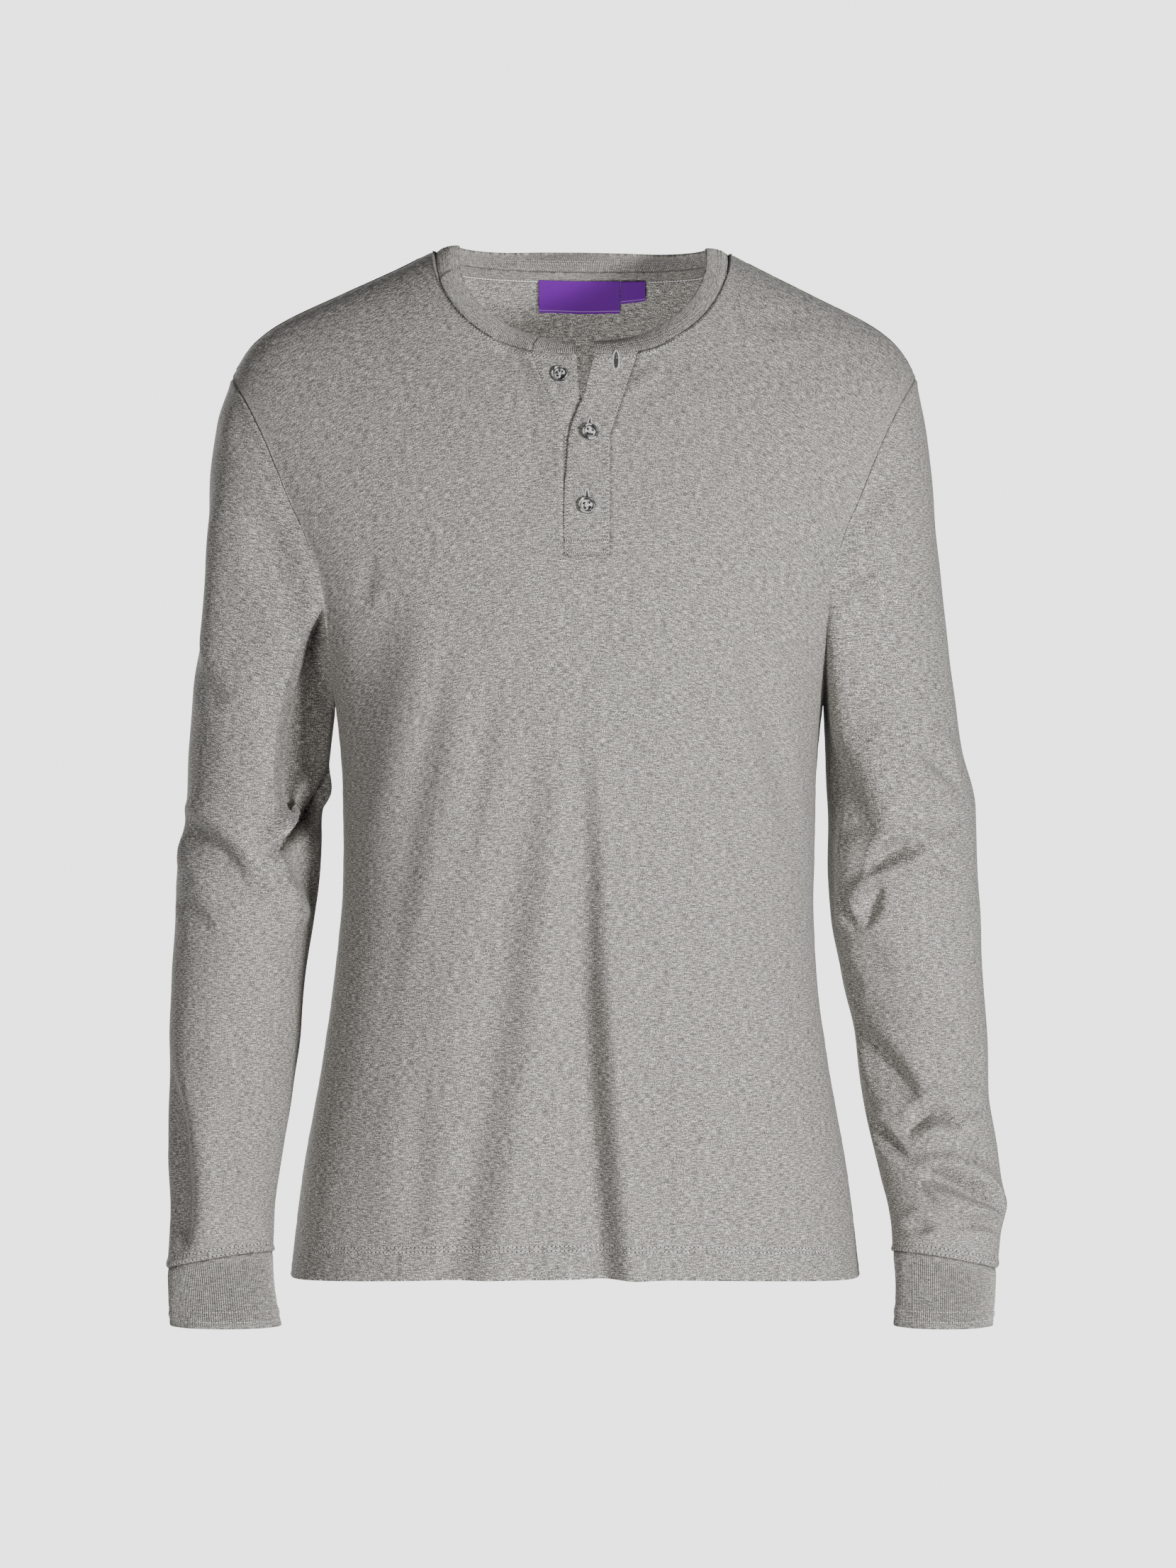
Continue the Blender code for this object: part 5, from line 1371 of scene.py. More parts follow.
@dataclass
class Neckband:
    """The doubled rib neckband, which stands up from the neck seam and leans in over the neck."""

    width: float = 0.0160
    axis: tuple[float, float] = (0.0022, -0.0120)
    pitch: float = 0.00135
    rib_depth: float = 0.00034
    rows: int = 9
    stitch_rows: tuple[float, ...] = (0.10, 0.40, 0.55)
    lean: Table = Table(
        ("angle", "upright"),
        (
            (0.0, 0.62),
            (50.0, 0.67),
            (75.0, 0.46),
            (92.0, 0.28),
            (115.0, 0.45),
            (150.0, 0.66),
            (180.0, 0.70),
        ),
    )

    def wall(self, seam: Array) -> Wall:
        """The band as a wall: its section is carried along the neck seam, ribbed by a cosine.

        Args:
            seam: the neck seam, from one placket band's free edge round to the other's.

        Returns:
            The band, seam row first.
        """
        along = lengths(seam)
        count = int(along[-1] / self.pitch) * 4
        at = np.linspace(0, along[-1], count + 1)
        line = along_line(seam, along, at)
        inward = unit(np.array(self.axis) - line[:, :2])
        upright = self.lean.read("upright", np.degrees(np.arccos(np.clip(inward[:, 1], -1, 1))))
        flat = np.sqrt(1 - upright**2)
        direction = np.column_stack([inward * flat[:, None], upright])
        crown = np.column_stack([-inward * upright[:, None], flat])
        share = np.linspace(0, 1, self.rows + 1)[:, None]
        profile = 0.0016 * np.sin(share * math.pi) - 0.00060 * bell(share, 0.05)
        profile = profile - 0.00030 * sum(bell(share - row, 0.05) for row in self.stitch_rows)
        crests = np.cos(np.arange(count + 1) * math.pi / 2)[None, :]
        rib = crests * self.rib_depth * (0.4 + 0.6 * ease(share / 0.2))
        outer = (line[None] + direction[None] * (self.width * share)[..., None]
                 + crown[None] * (profile + rib)[..., None])
        normal = np.broadcast_to(crown[None], outer.shape)
        cloth = np.stack(np.broadcast_arrays(at[None, :] + 8.0, share * self.width), axis=-1)
        middle = 0.0004 * bell(share - 0.5, 0.07)
        seam_row = np.broadcast_to(share * self.width, outer.shape[:2])
        return Wall("neckband_rib", outer, normal, DOUBLE, cloth, round_top=1.0,
                    inner_relief=2 * rib - middle, rib=rib / self.rib_depth, seam=seam_row)


# ---------------------------------------------------------------- inside the neck
@dataclass(frozen=True)
class InsideStrip:
    """The neck tape or a bare label on the inside of the back, by its edges below the neckline."""

    name: str
    node: str
    left: float
    right: float
    top: float
    bottom: float
    columns: int
    rows: int
    slant: float = 0.0
    thickness: float = 0.0009
    gap: float = 0.0005

    def wall(self, back: Wall) -> Wall:
        """The strip as a wall, made from the back's own inner face, moved in.

        Args:
            back: the back panel's wall.

        Returns:
            The strip; its own outer face looks at the back.
        """
        across = np.linspace(self.left, self.right, self.columns + 1)[None, :]
        share = np.linspace(0, 1, self.rows + 1)[:, None]
        bottom = self.bottom + self.slant * np.linspace(0, 1, self.columns + 1)[None, :]
        down = self.top + (bottom - self.top) * share
        height = FORM.neckline(Side.BACK, across) - down
        row, column = self.find(back.outer, across + 0.0 * down, height)
        normal = unit(between(back.normal, row, column))
        loose = 0.0007 * share**2 * (self.thickness + self.gap > 0.002)
        wave = 0.0004 * np.sin(across * 140 + 1.0) * share * (self.thickness + self.gap > 0.002)
        inner = between(back.outer, row, column) - normal * (JERSEY + self.gap + loose + wave)[..., None]
        cloth = np.stack(np.broadcast_arrays(across - self.left, share * (self.bottom - self.top)), axis=-1)
        return Wall(self.name, inner, normal, self.thickness, cloth, round_foot=0.8, round_top=0.8)

    def find(self, grid: Array, across: Array, height: Array) -> Line:
        """Fractional rows and columns of a grid's points at (across, height), by Newton's method.

        Args:
            grid: the grid.
            across: across.
            height: height.

        Returns:
            Rows and columns.
        """
        row = np.full(across.shape, grid.shape[0] - 4.0)
        column = np.full(across.shape, (grid.shape[1] - 1) / 2)
        for _ in range(40):
            here = between(grid, row, column)
            by_row = between(grid, row + 0.01, column) - here
            by_column = between(grid, row, column + 0.01) - here
            gap_x, gap_z = across - here[..., 0], height - here[..., 2]
            area = by_row[..., 0] * by_column[..., 2] - by_row[..., 2] * by_column[..., 0]
            step_row = 0.01 * (gap_x * by_column[..., 2] - gap_z * by_column[..., 0]) / area
            step_column = 0.01 * (gap_z * by_row[..., 0] - gap_x * by_row[..., 2]) / area
            row = np.clip(row + np.clip(step_row, -8, 8), 0, grid.shape[0] - 1.011)
            column = np.clip(column + np.clip(step_column, -8, 8), 0, grid.shape[1] - 1.011)
        return row, column


STRIPS = (
    InsideStrip("neck_tape_cloth", "neck_tape", -0.0920, 0.0955, 0.0006, 0.0078, 96, 6),
    InsideStrip("neck_label_ribbon", "neck_label", -0.0284, 0.0286, 0.0060, 0.0268, 40, 16, gap=0.0018),
    InsideStrip("size_label_ribbon", "size_label", 0.0291, 0.0465, 0.0062, 0.0206, 14, 12,
                slant=-0.0022, gap=0.0018),
)


# ---------------------------------------------------------------- buttons and buttonholes
def level_and_upright(out: Array) -> tuple[Array, Array]:
    """A level direction and an upright one, both square to the direction outward."""
    side = unit(np.cross([0.0, 0.0, 1.0], -out))
    return side, np.cross(out, side)


@dataclass
class Button:
    """A round shirt button with a raised rim, a dished middle and four holes."""

    number: int
    across: float
    height: float
    buttoned: bool
    turn: float = 0.0
    tip: float = 0.0
    radius: float = 0.0060
    thickness: float = 0.0026
    clearance: float = 0.0005
    hole_radius: float = 0.00095
    hole_offset: float = 0.00150
    hole_depth: float = 0.0015
    profile: Table = Table(
        ("radius", "height"),
        (
            (0.00, 0.60),
            (0.48, 0.62),
            (0.62, 0.66),
            (0.69, 0.60),
            (0.77, 0.92),
            (0.86, 1.00),
            (0.95, 0.88),
            (1.00, 0.55),
        ),
    )

    def frame_at(self, band: PlacketBand) -> tuple[Array, Array, Array, Array]:
        """The button's middle on its band and its three directions, turned and tipped.

        Args:
            band: the band that it lies on.

        Returns:
            The place, then sideways, upright and outward.
        """
        place, out = band.spot(self.across, self.height)
        out = unit(out + np.array([self.tip, 0.0, 0.0]))
        side, up = level_and_upright(out)
        c, s = math.cos(self.turn), math.sin(self.turn)
        return place + out * self.clearance, side * c + up * s, up * c - side * s, out

    def build(self, band: PlacketBand, material: bpy.types.Material) -> bpy.types.Object:
        """The button: its profile turned round its middle, with the four holes pressed deep into it.

        Args:
            band: the band that it lies on.
            material: what it is made of.

        Returns:
            The button.
        """
        sides, radii = 96, np.concatenate([np.linspace(0.02, 0.58, 26), np.linspace(0.60, 1.0, 14)])
        turn = np.arange(sides) * 2 * math.pi / sides
        r, t = np.broadcast_arrays(radii[:, None] * self.radius, turn[None, :])
        x, y = r * np.cos(t), r * np.sin(t)
        z = self.profile.read("height", radii)[:, None] * self.thickness + 0.0 * x
        drop = z
        for hole_x in (-self.hole_offset, self.hole_offset):
            for hole_y in (-self.hole_offset, self.hole_offset):
                away = np.hypot(x - hole_x, y - hole_y)
                edge = (away - self.hole_radius * 0.75) / (self.hole_radius * 0.5)
                z = z - self.hole_depth * (1 - ease(edge))
        low = np.array([(0.97, 0.30), (0.88, 0.0), (0.02, 0.0)])
        low_radius, low_height = low[:, :1] * self.radius, low[:, 1:] * self.thickness
        under = np.stack([low_radius * np.cos(turn), low_radius * np.sin(turn),
                          low_height + 0.0 * turn[None, :]], axis=-1)
        grid = np.concatenate([np.stack([x, y, z], axis=-1), under])
        rows = len(grid)
        place, side, up, out = self.frame_at(band)
        points = place + grid[..., :1] * side + grid[..., 1:2] * up + grid[..., 2:] * out
        quads = tube_faces(rows, sides)[:, [0, 3, 2, 1]]
        top, bottom = np.arange(sides), (rows - 1) * sides + np.arange(sides)[::-1]
        corners = np.concatenate([quads.ravel(), top, bottom])
        sizes = np.concatenate([np.full(len(quads), 4), [sides, sides]])
        name = "button_%d_pearl" % self.number
        piece = add_mesh(name, points.reshape(-1, 3), corners, sizes, material, sharp=70)
        # painted shade: the mark shade darkens the groove, the outer edge, the holes and the whole underside
        groove = np.maximum(bell(radii - 0.69, 0.06), bell(radii - 1.0, 0.08))[:, None]
        shade = np.maximum(groove, np.clip((drop - z) / 0.0008, 0, 1))
        add_mark(piece, "shade", np.concatenate([shade, np.ones(under.shape[:2])]).ravel())
        return piece

    def threads(self, band: PlacketBand) -> tuple[Array, Array, Array]:
        """Middles, directions and normals of the threads that cross between the holes."""
        place, side, up, out = self.frame_at(band)
        level = place + out * self.thickness * 0.70
        shift = np.array([-0.18, 0.18])[:, None] * 0.001
        one, other = unit(side + up), unit(side - up)
        middles = np.concatenate([level + other * shift, level + out * 0.0002 + one * shift])
        return middles, np.stack([one, one, other, other]), np.repeat(out[None], 4, axis=0)


BUTTONS = (
    Button(1, -0.0129, -0.0957, False, 0.06),
    Button(2, 0.0068, -0.1357, True, -0.25, 0.30),
    Button(3, 0.0052, -0.1854, True, 0.12),
)


@dataclass(frozen=True)
class Buttonhole:
    """A corded slit in the over band, edged with close stitches."""

    name: str
    across: float
    height: float
    length: float
    half_width: float
    lean: float

    def outline(self, band: PlacketBand, grow: float, lift: float, count: int = 96) -> Line:
        """The slit's closed outline on the band: a long lens with rounded ends.

        Args:
            band: the band.
            grow: metres outside the slit's own edge.
            lift: metres off the band.
            count: how many points.

        Returns:
            The points and the band's normals.
        """
        turn = np.arange(count) * 2 * math.pi / count
        place, out = band.spot(self.across, self.height)
        side, up = level_and_upright(out)
        tall, wide = self.length / 2 + grow, self.half_width + grow
        along = np.sin(turn) * tall
        beside = np.sign(np.cos(turn)) * np.abs(np.cos(turn)) ** 1.2 * wide
        c, s = math.cos(self.lean), math.sin(self.lean)
        sideways, upright = (beside * c + along * s)[:, None], (along * c - beside * s)[:, None]
        points = place + out * lift + sideways * side + upright * up
        return points, np.repeat(out[None], count, axis=0)


BUTTONHOLES = (
    Buttonhole("top", 0.0248, -0.0860, 0.0140, 0.0016, 0.12),
    Buttonhole("middle", 0.0070, -0.1312, 0.0125, 0.0008, 0.10),
    Buttonhole("lower", 0.0054, -0.1805, 0.0130, 0.0008, 0.0),
)


# ---------------------------------------------------------------- stitches
@dataclass(frozen=True)
class Stitch:
    """One kind of stitch: its length and thickness, and how far apart and how deep it lies."""

    pitch: float
    length: float
    thickness: float
    sink: float = 0.0
    across: bool = False

    def along(self, line: Line) -> tuple[Array, Array, Array]:
        """Spreads stitches evenly along a line.

        Args:
            line: the line.

        Returns:
            Middles, directions and normals, one for each stitch.
        """
        points, normals = line
        run = lengths(points)
        count = max(2, int(round(run[-1] / self.pitch)))
        at = (np.arange(count) + 0.5) * run[-1] / count
        middle, normal = along_line(points, run, at), unit(along_line(normals, run, at))
        before, after = (along_line(points, run, at + way * self.pitch / 2) for way in (-1, 1))
        way = unit(after - before)
        if self.across:
            way = unit(np.cross(way, normal))
        return middle - normal * self.sink, way, normal

    def holes(self, line: Line) -> Line:
        """The needle's holes, where one stitch ends and the next begins.

        Args:
            line: the line.

        Returns:
            Their places and the normals there.
        """
        run = lengths(line[0])
        at = np.linspace(0, run[-1], max(2, int(round(run[-1] / self.pitch))) + 1)
        points, normals = (along_line(values, run, at) for values in line)
        return points, unit(normals)


TOPSTITCH = Stitch(0.0024, 0.0017, 0.00036, -0.00004)
COVERSTITCH = Stitch(0.0029, 0.0021, 0.00042, -0.00004)
BOX_STITCH = Stitch(0.0014, 0.0008, 0.00030, -0.00002)
LADDER = Stitch(0.0013, 0.0028, 0.00028, 0.00002, across=True)
SEAM_STITCH = Stitch(0.00118, 0.0013, 0.00040, 0.0, across=True)
CHAIN = Stitch(0.0020, 0.0020, 0.00095, 0.0)
CORD = Stitch(0.00042, 0.0012, 0.00034, 0.0, across=True)


NECK_ROW, NECK_LADDER = 0.0036, 0.0016      # rows below the neck seam, in metres from it
WRIST_ROWS = (0.0020, 0.0064)               # on the sleeve, above the cuff's seam
CUFF_ROWS = (0.0038, 0.0108)                # on the cuff, above its open end
BOX_ROWS = (0.0010, 0.0094)                 # across the placket's foot, above its lower end
INNER_ROWS = (0.44, 0.58)                   # inside the neckband, as shares of its width
# of these two rows on the tape, the lower one is a dark row painted as the pale chain's shadow
TAPE_CHAIN, TAPE_SHADOW = 0.0010, 0.0001     # on the neck tape, above its lower edge


def add_stitches(name: str, kind: Stitch, spots: list[tuple[Array, Array, Array]],
                 material: bpy.types.Material) -> bpy.types.Object:
    """Adds many stitches as one mesh: a bead of four sides, carried to each stitch's place at once.

    Args:
        name: the piece's name.
        kind: the kind of stitch.
        spots: middles, directions and normals, for each row of stitches.
        material: the thread.

    Returns:
        The piece; its attribute "bare" is 1 in a stitch's middle and 0 at its ends, where the thread takes a
        painted shade.
    """
    middle, way, normal = (np.concatenate([spot[k] for spot in spots]) for k in range(3))
    ends = np.array([-0.5, -0.34, 0.34, 0.5])[:, None]
    round_it = np.arange(4)[None, :] * math.pi / 2
    thick = np.array([0.35, 1.0, 1.0, 0.35])[:, None] * kind.thickness / 2
    x, y, z = (a.ravel() for a in np.broadcast_arrays(
        ends * kind.length, thick * np.cos(round_it) * 1.15, thick * np.sin(round_it)))
    aside = unit(np.cross(normal, way))
    points = (middle[:, None] + x[None, :, None] * way[:, None] + y[None, :, None] * aside[:, None]
              + z[None, :, None] * normal[:, None])
    one = np.concatenate([tube_faces(4, 4).ravel(), np.arange(4)[::-1], 12 + np.arange(4)])
    corners = (one[None, :] + 16 * np.arange(len(middle))[:, None]).ravel()
    sizes = np.full(14 * len(middle), 4)
    piece = add_mesh(name, points.reshape(-1, 3), corners, sizes, material, sharp=80)
    add_mark(piece, "bare", np.tile(np.repeat([0.0, 1.0, 1.0, 0.0], 4), len(middle)))
    return piece


def add_dots(name: str, spots: list[Line], radius: float, material: bpy.types.Material) -> bpy.types.Object:
    """Adds small dark dots, painted as the shade in the needle's holes, as one mesh: two flat six-sided
    cones, foot to foot, at each place.

    Args:
        name: the piece's name.
        spots: places and normals.
        radius: a dot's radius.
        material: the painted shade inside a hole.

    Returns:
        The piece.
    """
    place, normal = (np.concatenate([spot[k] for spot in spots]) for k in range(2))
    side = unit(np.cross(normal, [0.31, 0.27, 0.91]))
    other = np.cross(normal, side)
    turn = np.arange(6)[None, :, None] * math.pi / 3
    ring = place[:, None] + radius * (np.cos(turn) * side[:, None] + np.sin(turn) * other[:, None])
    tips = place[:, None] + normal[:, None] * np.array([0.00010, -0.00020])[None, :, None]
    k = np.arange(6)
    upper = np.stack([k, (k + 1) % 6, np.full(6, 6)], 1)
    lower = np.stack([(k + 1) % 6, k, np.full(6, 7)], 1)
    one = np.concatenate([upper, lower]).ravel()
    corners = (one[None, :] + 8 * np.arange(len(place))[:, None]).ravel()
    points = np.concatenate([ring, tips], axis=1).reshape(-1, 3)
    return add_mesh(name, points, corners, np.full(12 * len(place), 3), material, sharp=80)


def add_cord(name: str, outline: Line, thickness: float, material: bpy.types.Material) -> bpy.types.Object:
    """Adds a thin closed cord round an outline: a small circle carried along it.

    Args:
        name: the piece's name.
        outline: the closed line and its normals.
        thickness: the cord's diameter.
        material: the thread.

    Returns:
        The cord.
    """
    points, normals = outline
    way = unit(np.roll(points, -1, axis=0) - np.roll(points, 1, axis=0))
    aside = np.cross(normals, way)
    turn = np.arange(6) * math.pi / 3
    tube = (points[:, None] + thickness / 2 * (np.cos(turn)[None, :, None] * aside[:, None]
                                              + np.sin(turn)[None, :, None] * normals[:, None]))
    quads = tube_faces(len(points), 6, closed=True)
    return add_mesh(name, tube.reshape(-1, 3), quads.ravel(), np.full(len(quads), 4), material, sharp=80)


# ---------------------------------------------------------------- finishes
class Nodes:
    """A new material, with a short way to add and link its nodes."""

    def __init__(self, name: str) -> None:
        """Starts a material with one Principled surface."""
        self.material = bpy.data.materials.new(name)
        self.material.use_nodes = True
        self.tree = self.material.node_tree
        self.shader = self.tree.nodes["Principled BSDF"]

    def add(self, kind: str, settings: dict | None = None, **inputs: object) -> Socket:
        """Adds a node and gives its inputs values or links.

        Args:
            kind: the node's type, without its prefix.
            settings: the node's own properties.
            inputs: values or sockets; a name such as i0 stands for the input's number.

        Returns:
            The node's first output.
        """
        node = self.tree.nodes.new("ShaderNode" + kind)
        for key, value in (settings or {}).items():
            setattr(node, key, value)
        for key, value in inputs.items():
            socket = node.inputs[int(key[1:])] if key[0] == "i" and key[1:].isdigit() else node.inputs[key]
            if isinstance(value, Socket):
                self.tree.links.new(value, socket)
            else:
                socket.default_value = value
        return node.outputs[0]

    def math(self, operation: str, a: object, b: object = 0.0, c: object = 0.0) -> Socket:
        """One step of arithmetic."""
        return self.add("Math", {"operation": operation}, i0=a, i1=b, i2=c)

    def place(self) -> Socket:
        """Where a point lies on its piece, in metres."""
        return self.add("TexCoord").node.outputs["Object"]

    def mark(self, name: str) -> Socket:
        """A number that the piece holds at every point."""
        return self.add("Attribute", {"attribute_name": name}).node.outputs["Fac"]

    def ramp(self, factor: Socket, stops: tuple[tuple[float, Colour], ...]) -> Socket:
        """A colour ramp through the stops, each a place and a colour."""
        output = self.add("ValToRGB", i0=factor)
        elements = output.node.color_ramp.elements
        while len(elements) < len(stops):
            elements.new(0.5)
        for element, (place, colour) in zip(elements, stops):
            element.position, element.color = place, (*colour, 1.0)
        return output

    def mix(self, factor: object, a: object, b: object, blend: str = "MIX") -> Socket:
        """Mixes two colours."""
        node = self.tree.nodes.new("ShaderNodeMix")
        node.data_type, node.blend_type = "RGBA", blend
        for number, value in ((0, factor), (6, a), (7, b)):
            if isinstance(value, Socket):
                self.tree.links.new(value, node.inputs[number])
            else:
                node.inputs[number].default_value = (*value, 1.0) if isinstance(value, tuple) else value
        return node.outputs[2]

    def finish(self, colour: Socket | None, **values: float) -> bpy.types.Material:
        """Links the colour and sets the surface's plain values, such as Roughness.

        Args:
            colour: the base colour.
            values: the surface's inputs, with _ for a space.

        Returns:
            The material.
        """
        if colour is not None:
            self.tree.links.new(colour, self.shader.inputs["Base Color"])
        for key, value in values.items():
            self.shader.inputs[key.replace("_", " ")].default_value = value
        return self.material

    def bump(self, height: Socket, distance: float, strength: float = 1.0) -> None:
        """Gives the surface a bump of this height, in metres."""
        bump = self.add("Bump", Height=height, Distance=distance, Strength=strength)
        self.tree.links.new(bump, self.shader.inputs["Normal"])


@dataclass(frozen=True)
class HeatherFinish:
    """Grey heather knit: pale and dark fibres in short wavy streaks along the courses, over fine stitches."""

    name: str
    greys: tuple[float, ...] = (0.075, 0.120, 0.188, 0.325, 0.730)
    tint: tuple[float, float, float] = (1.0, 0.960, 0.885)
    layers: tuple[tuple[float, float, float, float], ...] = (
        (0.36, 0.0046, 0.00072, 1.0), (0.60, 0.00085, 0.00045, 1.0), (0.04, 0.0160, 0.0050, 1.0))
    spread: float = 0.145
    wave: tuple[float, float, float] = (60.0, 200.0, 1.0)
    wander: tuple[float, float, float] = (0.004, 0.0015, 0.0)
    bump: float = 0.00018
    painted_rib_shading: float = 0.0
    # the next two: the width and the strength of the shade painted beside a seam
    seam_reach: float = 0.0009
    painted_seam_shade: float = 0.62

    def material(self) -> bpy.types.Material:
        """The knit, worked out on the map of metres along the cloth.

        The courses are bent by a slow wave. Three noises, each stretched along them, are added by
        their shares: streaks, single stitches and slow clouds. A ramp turns their sum to greys, which
        take a painted shade beside a seam, by a bell curve of the distance, and painted shading on
        ribs, darker in their valleys and lighter on their crests.
        """
        n = Nodes(self.name)
        metres = n.add("UVMap", {"uv_map": "cloth"})
        slow = n.add("Mapping", Vector=metres, Scale=self.wave)
        flat = {"noise_dimensions": "2D"}
        wave = n.add("TexNoise", flat, Vector=slow, Scale=1.0, Detail=2.0).node.outputs[1]
        bent = n.add("VectorMath", {"operation": "MULTIPLY_ADD"}, i0=wave, i1=self.wander, i2=metres)
        mixed = None
        for share, length, height, detail in self.layers:
            stretched = n.add("Mapping", Vector=bent, Scale=(1 / length, 1 / height, 1.0))
            grain = n.add("TexNoise", flat, Vector=stretched, Scale=1.0, Detail=detail)
            mixed = n.math("MULTIPLY_ADD", grain, share, mixed or 0.0)
        colour = n.ramp(mixed, [(0.5 + 0.5 * (k - 2) * self.spread, tuple(grey * c for c in self.tint))
                                for k, grey in enumerate(self.greys)])
        # painted shade of a seam's groove: a bell curve of the distance from the seam darkens the greys
        away = n.math("POWER", n.math("DIVIDE", n.mark("seam"), self.seam_reach), 2.0)
        near = n.math("EXPONENT", n.math("MULTIPLY", away, -1.0))
        shade = n.math("MULTIPLY_ADD", near, -self.painted_seam_shade, 1.0)
        # painted shading of the ribs: darker in the valleys, lighter on the crests
        shade = n.math("MULTIPLY", shade, n.math("MULTIPLY_ADD", n.mark("rib"), self.painted_rib_shading, 1.0))
        colour = n.mix(1.0, colour, shade, "MULTIPLY")
        n.bump(mixed, self.bump)
        return n.finish(colour, Roughness=0.92, Sheen_Weight=0.10, Sheen_Roughness=0.5,
                        Specular_IOR_Level=0.15)


@dataclass(frozen=True)
class ThreadFinish:
    """Cotton sewing thread, with painted shade at its ends where it dives into the cloth."""

    name: str
    colour: tuple[float, float, float] = (0.58, 0.565, 0.54)
    # painted shade of the needle's holes, which the thread's ends take
    hole: tuple[float, float, float] = (0.030, 0.030, 0.028)

    def material(self) -> bpy.types.Material:
        """The thread; the attribute "bare" tells its middle from its ends, which take the painted shade."""
        n = Nodes(self.name)
        bare = n.mark("bare")
        fibre = n.add("TexNoise", Vector=n.place(), Scale=4200.0, Detail=2.0)
        thread = n.mix(fibre, tuple(0.75 * c for c in self.colour), tuple(1.2 * c for c in self.colour))
        # painted shade: the thread turns to the hole colour towards its ends
        colour = n.mix(n.math("POWER", bare, 1.6), self.hole, thread)
        n.bump(fibre, 0.00006)
        return n.finish(colour, Roughness=0.75, Sheen_Weight=0.3, Sheen_Roughness=0.4)


@dataclass(frozen=True)
class PearlFinish:
    """Smoky grey pearly plastic with a glossy coat, its clouds partly its own tone and partly painted
    reflection.
    """

    name: str
    warp: float = 0.0025

    def material(self) -> bpy.types.Material:
        """The plastic, with its clouds worked out in metres."""
        n = Nodes(self.name)
        place = n.place()
        bend = n.add("TexNoise", Vector=place, Scale=260.0, Detail=3.0).node.outputs[1]
        warped = n.add("VectorMath", {"operation": "MULTIPLY_ADD"}, i0=bend, i1=(self.warp,) * 3, i2=place)
        # clouds from near black to near white: partly the plastic's own tone, partly painted reflection
        cloud = n.add("TexNoise", Vector=warped, Scale=230.0, Detail=2.0, Roughness=0.45)
        colour = n.ramp(cloud, ((0.36, (0.016, 0.016, 0.017)), (0.46, (0.110, 0.110, 0.108)),
                                (0.53, (0.400, 0.396, 0.385)), (0.63, (0.840, 0.835, 0.815))))
        # painted shade: the groove, outer edge, holes and underside go towards near black by the mark shade
        colour = n.mix(n.math("MULTIPLY", n.mark("shade"), 0.92), colour, (0.010, 0.010, 0.011))
        return n.finish(colour, Roughness=0.20, Metallic=0.15, Coat_Weight=0.7, Coat_Roughness=0.06,
                        Specular_IOR_Level=0.6)


@dataclass(frozen=True)
class RibbonFinish:
    """Purple woven ribbon: a fine twill with a paler line along its lower edge."""

    name: str
    depth: float
    dark: tuple[float, float, float] = (0.072, 0.000, 0.165)
    pale: tuple[float, float, float] = (0.150, 0.000, 0.320)
    twill_pitch: float = 0.00045
    weft_pitch: float = 0.00036

    def material(self) -> bpy.types.Material:
        """The ribbon, worked out on its own map in metres."""
        n = Nodes(self.name)
        parts = n.add("SeparateXYZ", Vector=n.add("UVMap", {"uv_map": "cloth"}))
        u, v = parts, parts.node.outputs[1]
        slant = n.math("ADD", u, n.math("MULTIPLY", v, 0.6))
        twill = n.math("SINE", n.math("MULTIPLY", slant, 2 * math.pi / self.twill_pitch))
        weft = n.math("SINE", n.math("MULTIPLY", v, 2 * math.pi / self.weft_pitch))
        weave = n.math("MULTIPLY_ADD", n.math("ADD", twill, n.math("MULTIPLY", weft, 0.5)), 0.30, 0.5)
        cloud = n.add("TexNoise", Vector=n.add("UVMap", {"uv_map": "cloth"}), Scale=900.0, Detail=2.0)
        colour = n.mix(n.math("MULTIPLY", weave, 0.7), self.dark, self.pale)
        line = n.math("COMPARE", v, self.depth - 0.0014, 0.00025)
        colour = n.mix(n.math("MULTIPLY", line, 0.7), colour, (0.36, 0.20, 0.50))
        colour = n.mix(n.math("MULTIPLY", cloud, 0.08), colour, (0.26, 0.10, 0.42))
        n.bump(weave, 0.00006)
        return n.finish(colour, Roughness=0.55, Specular_IOR_Level=0.12)


@dataclass(frozen=True)
class PlainFinish:
    """A plain matt surface with a faint grain, for the floor and for the painted shade inside a buttonhole's
    slit.
    """

    name: str
    colour: tuple[float, float, float]
    grain: float = 0.03

    def material(self) -> bpy.types.Material:
        """The surface."""
        n = Nodes(self.name)
        speck = n.add("TexNoise", Vector=n.place(), Scale=60.0, Detail=2.0)
        low, high = (tuple(c * k for c in self.colour) for k in (1 - self.grain, 1 + self.grain))
        return n.finish(n.mix(speck, low, high), Roughness=0.95)


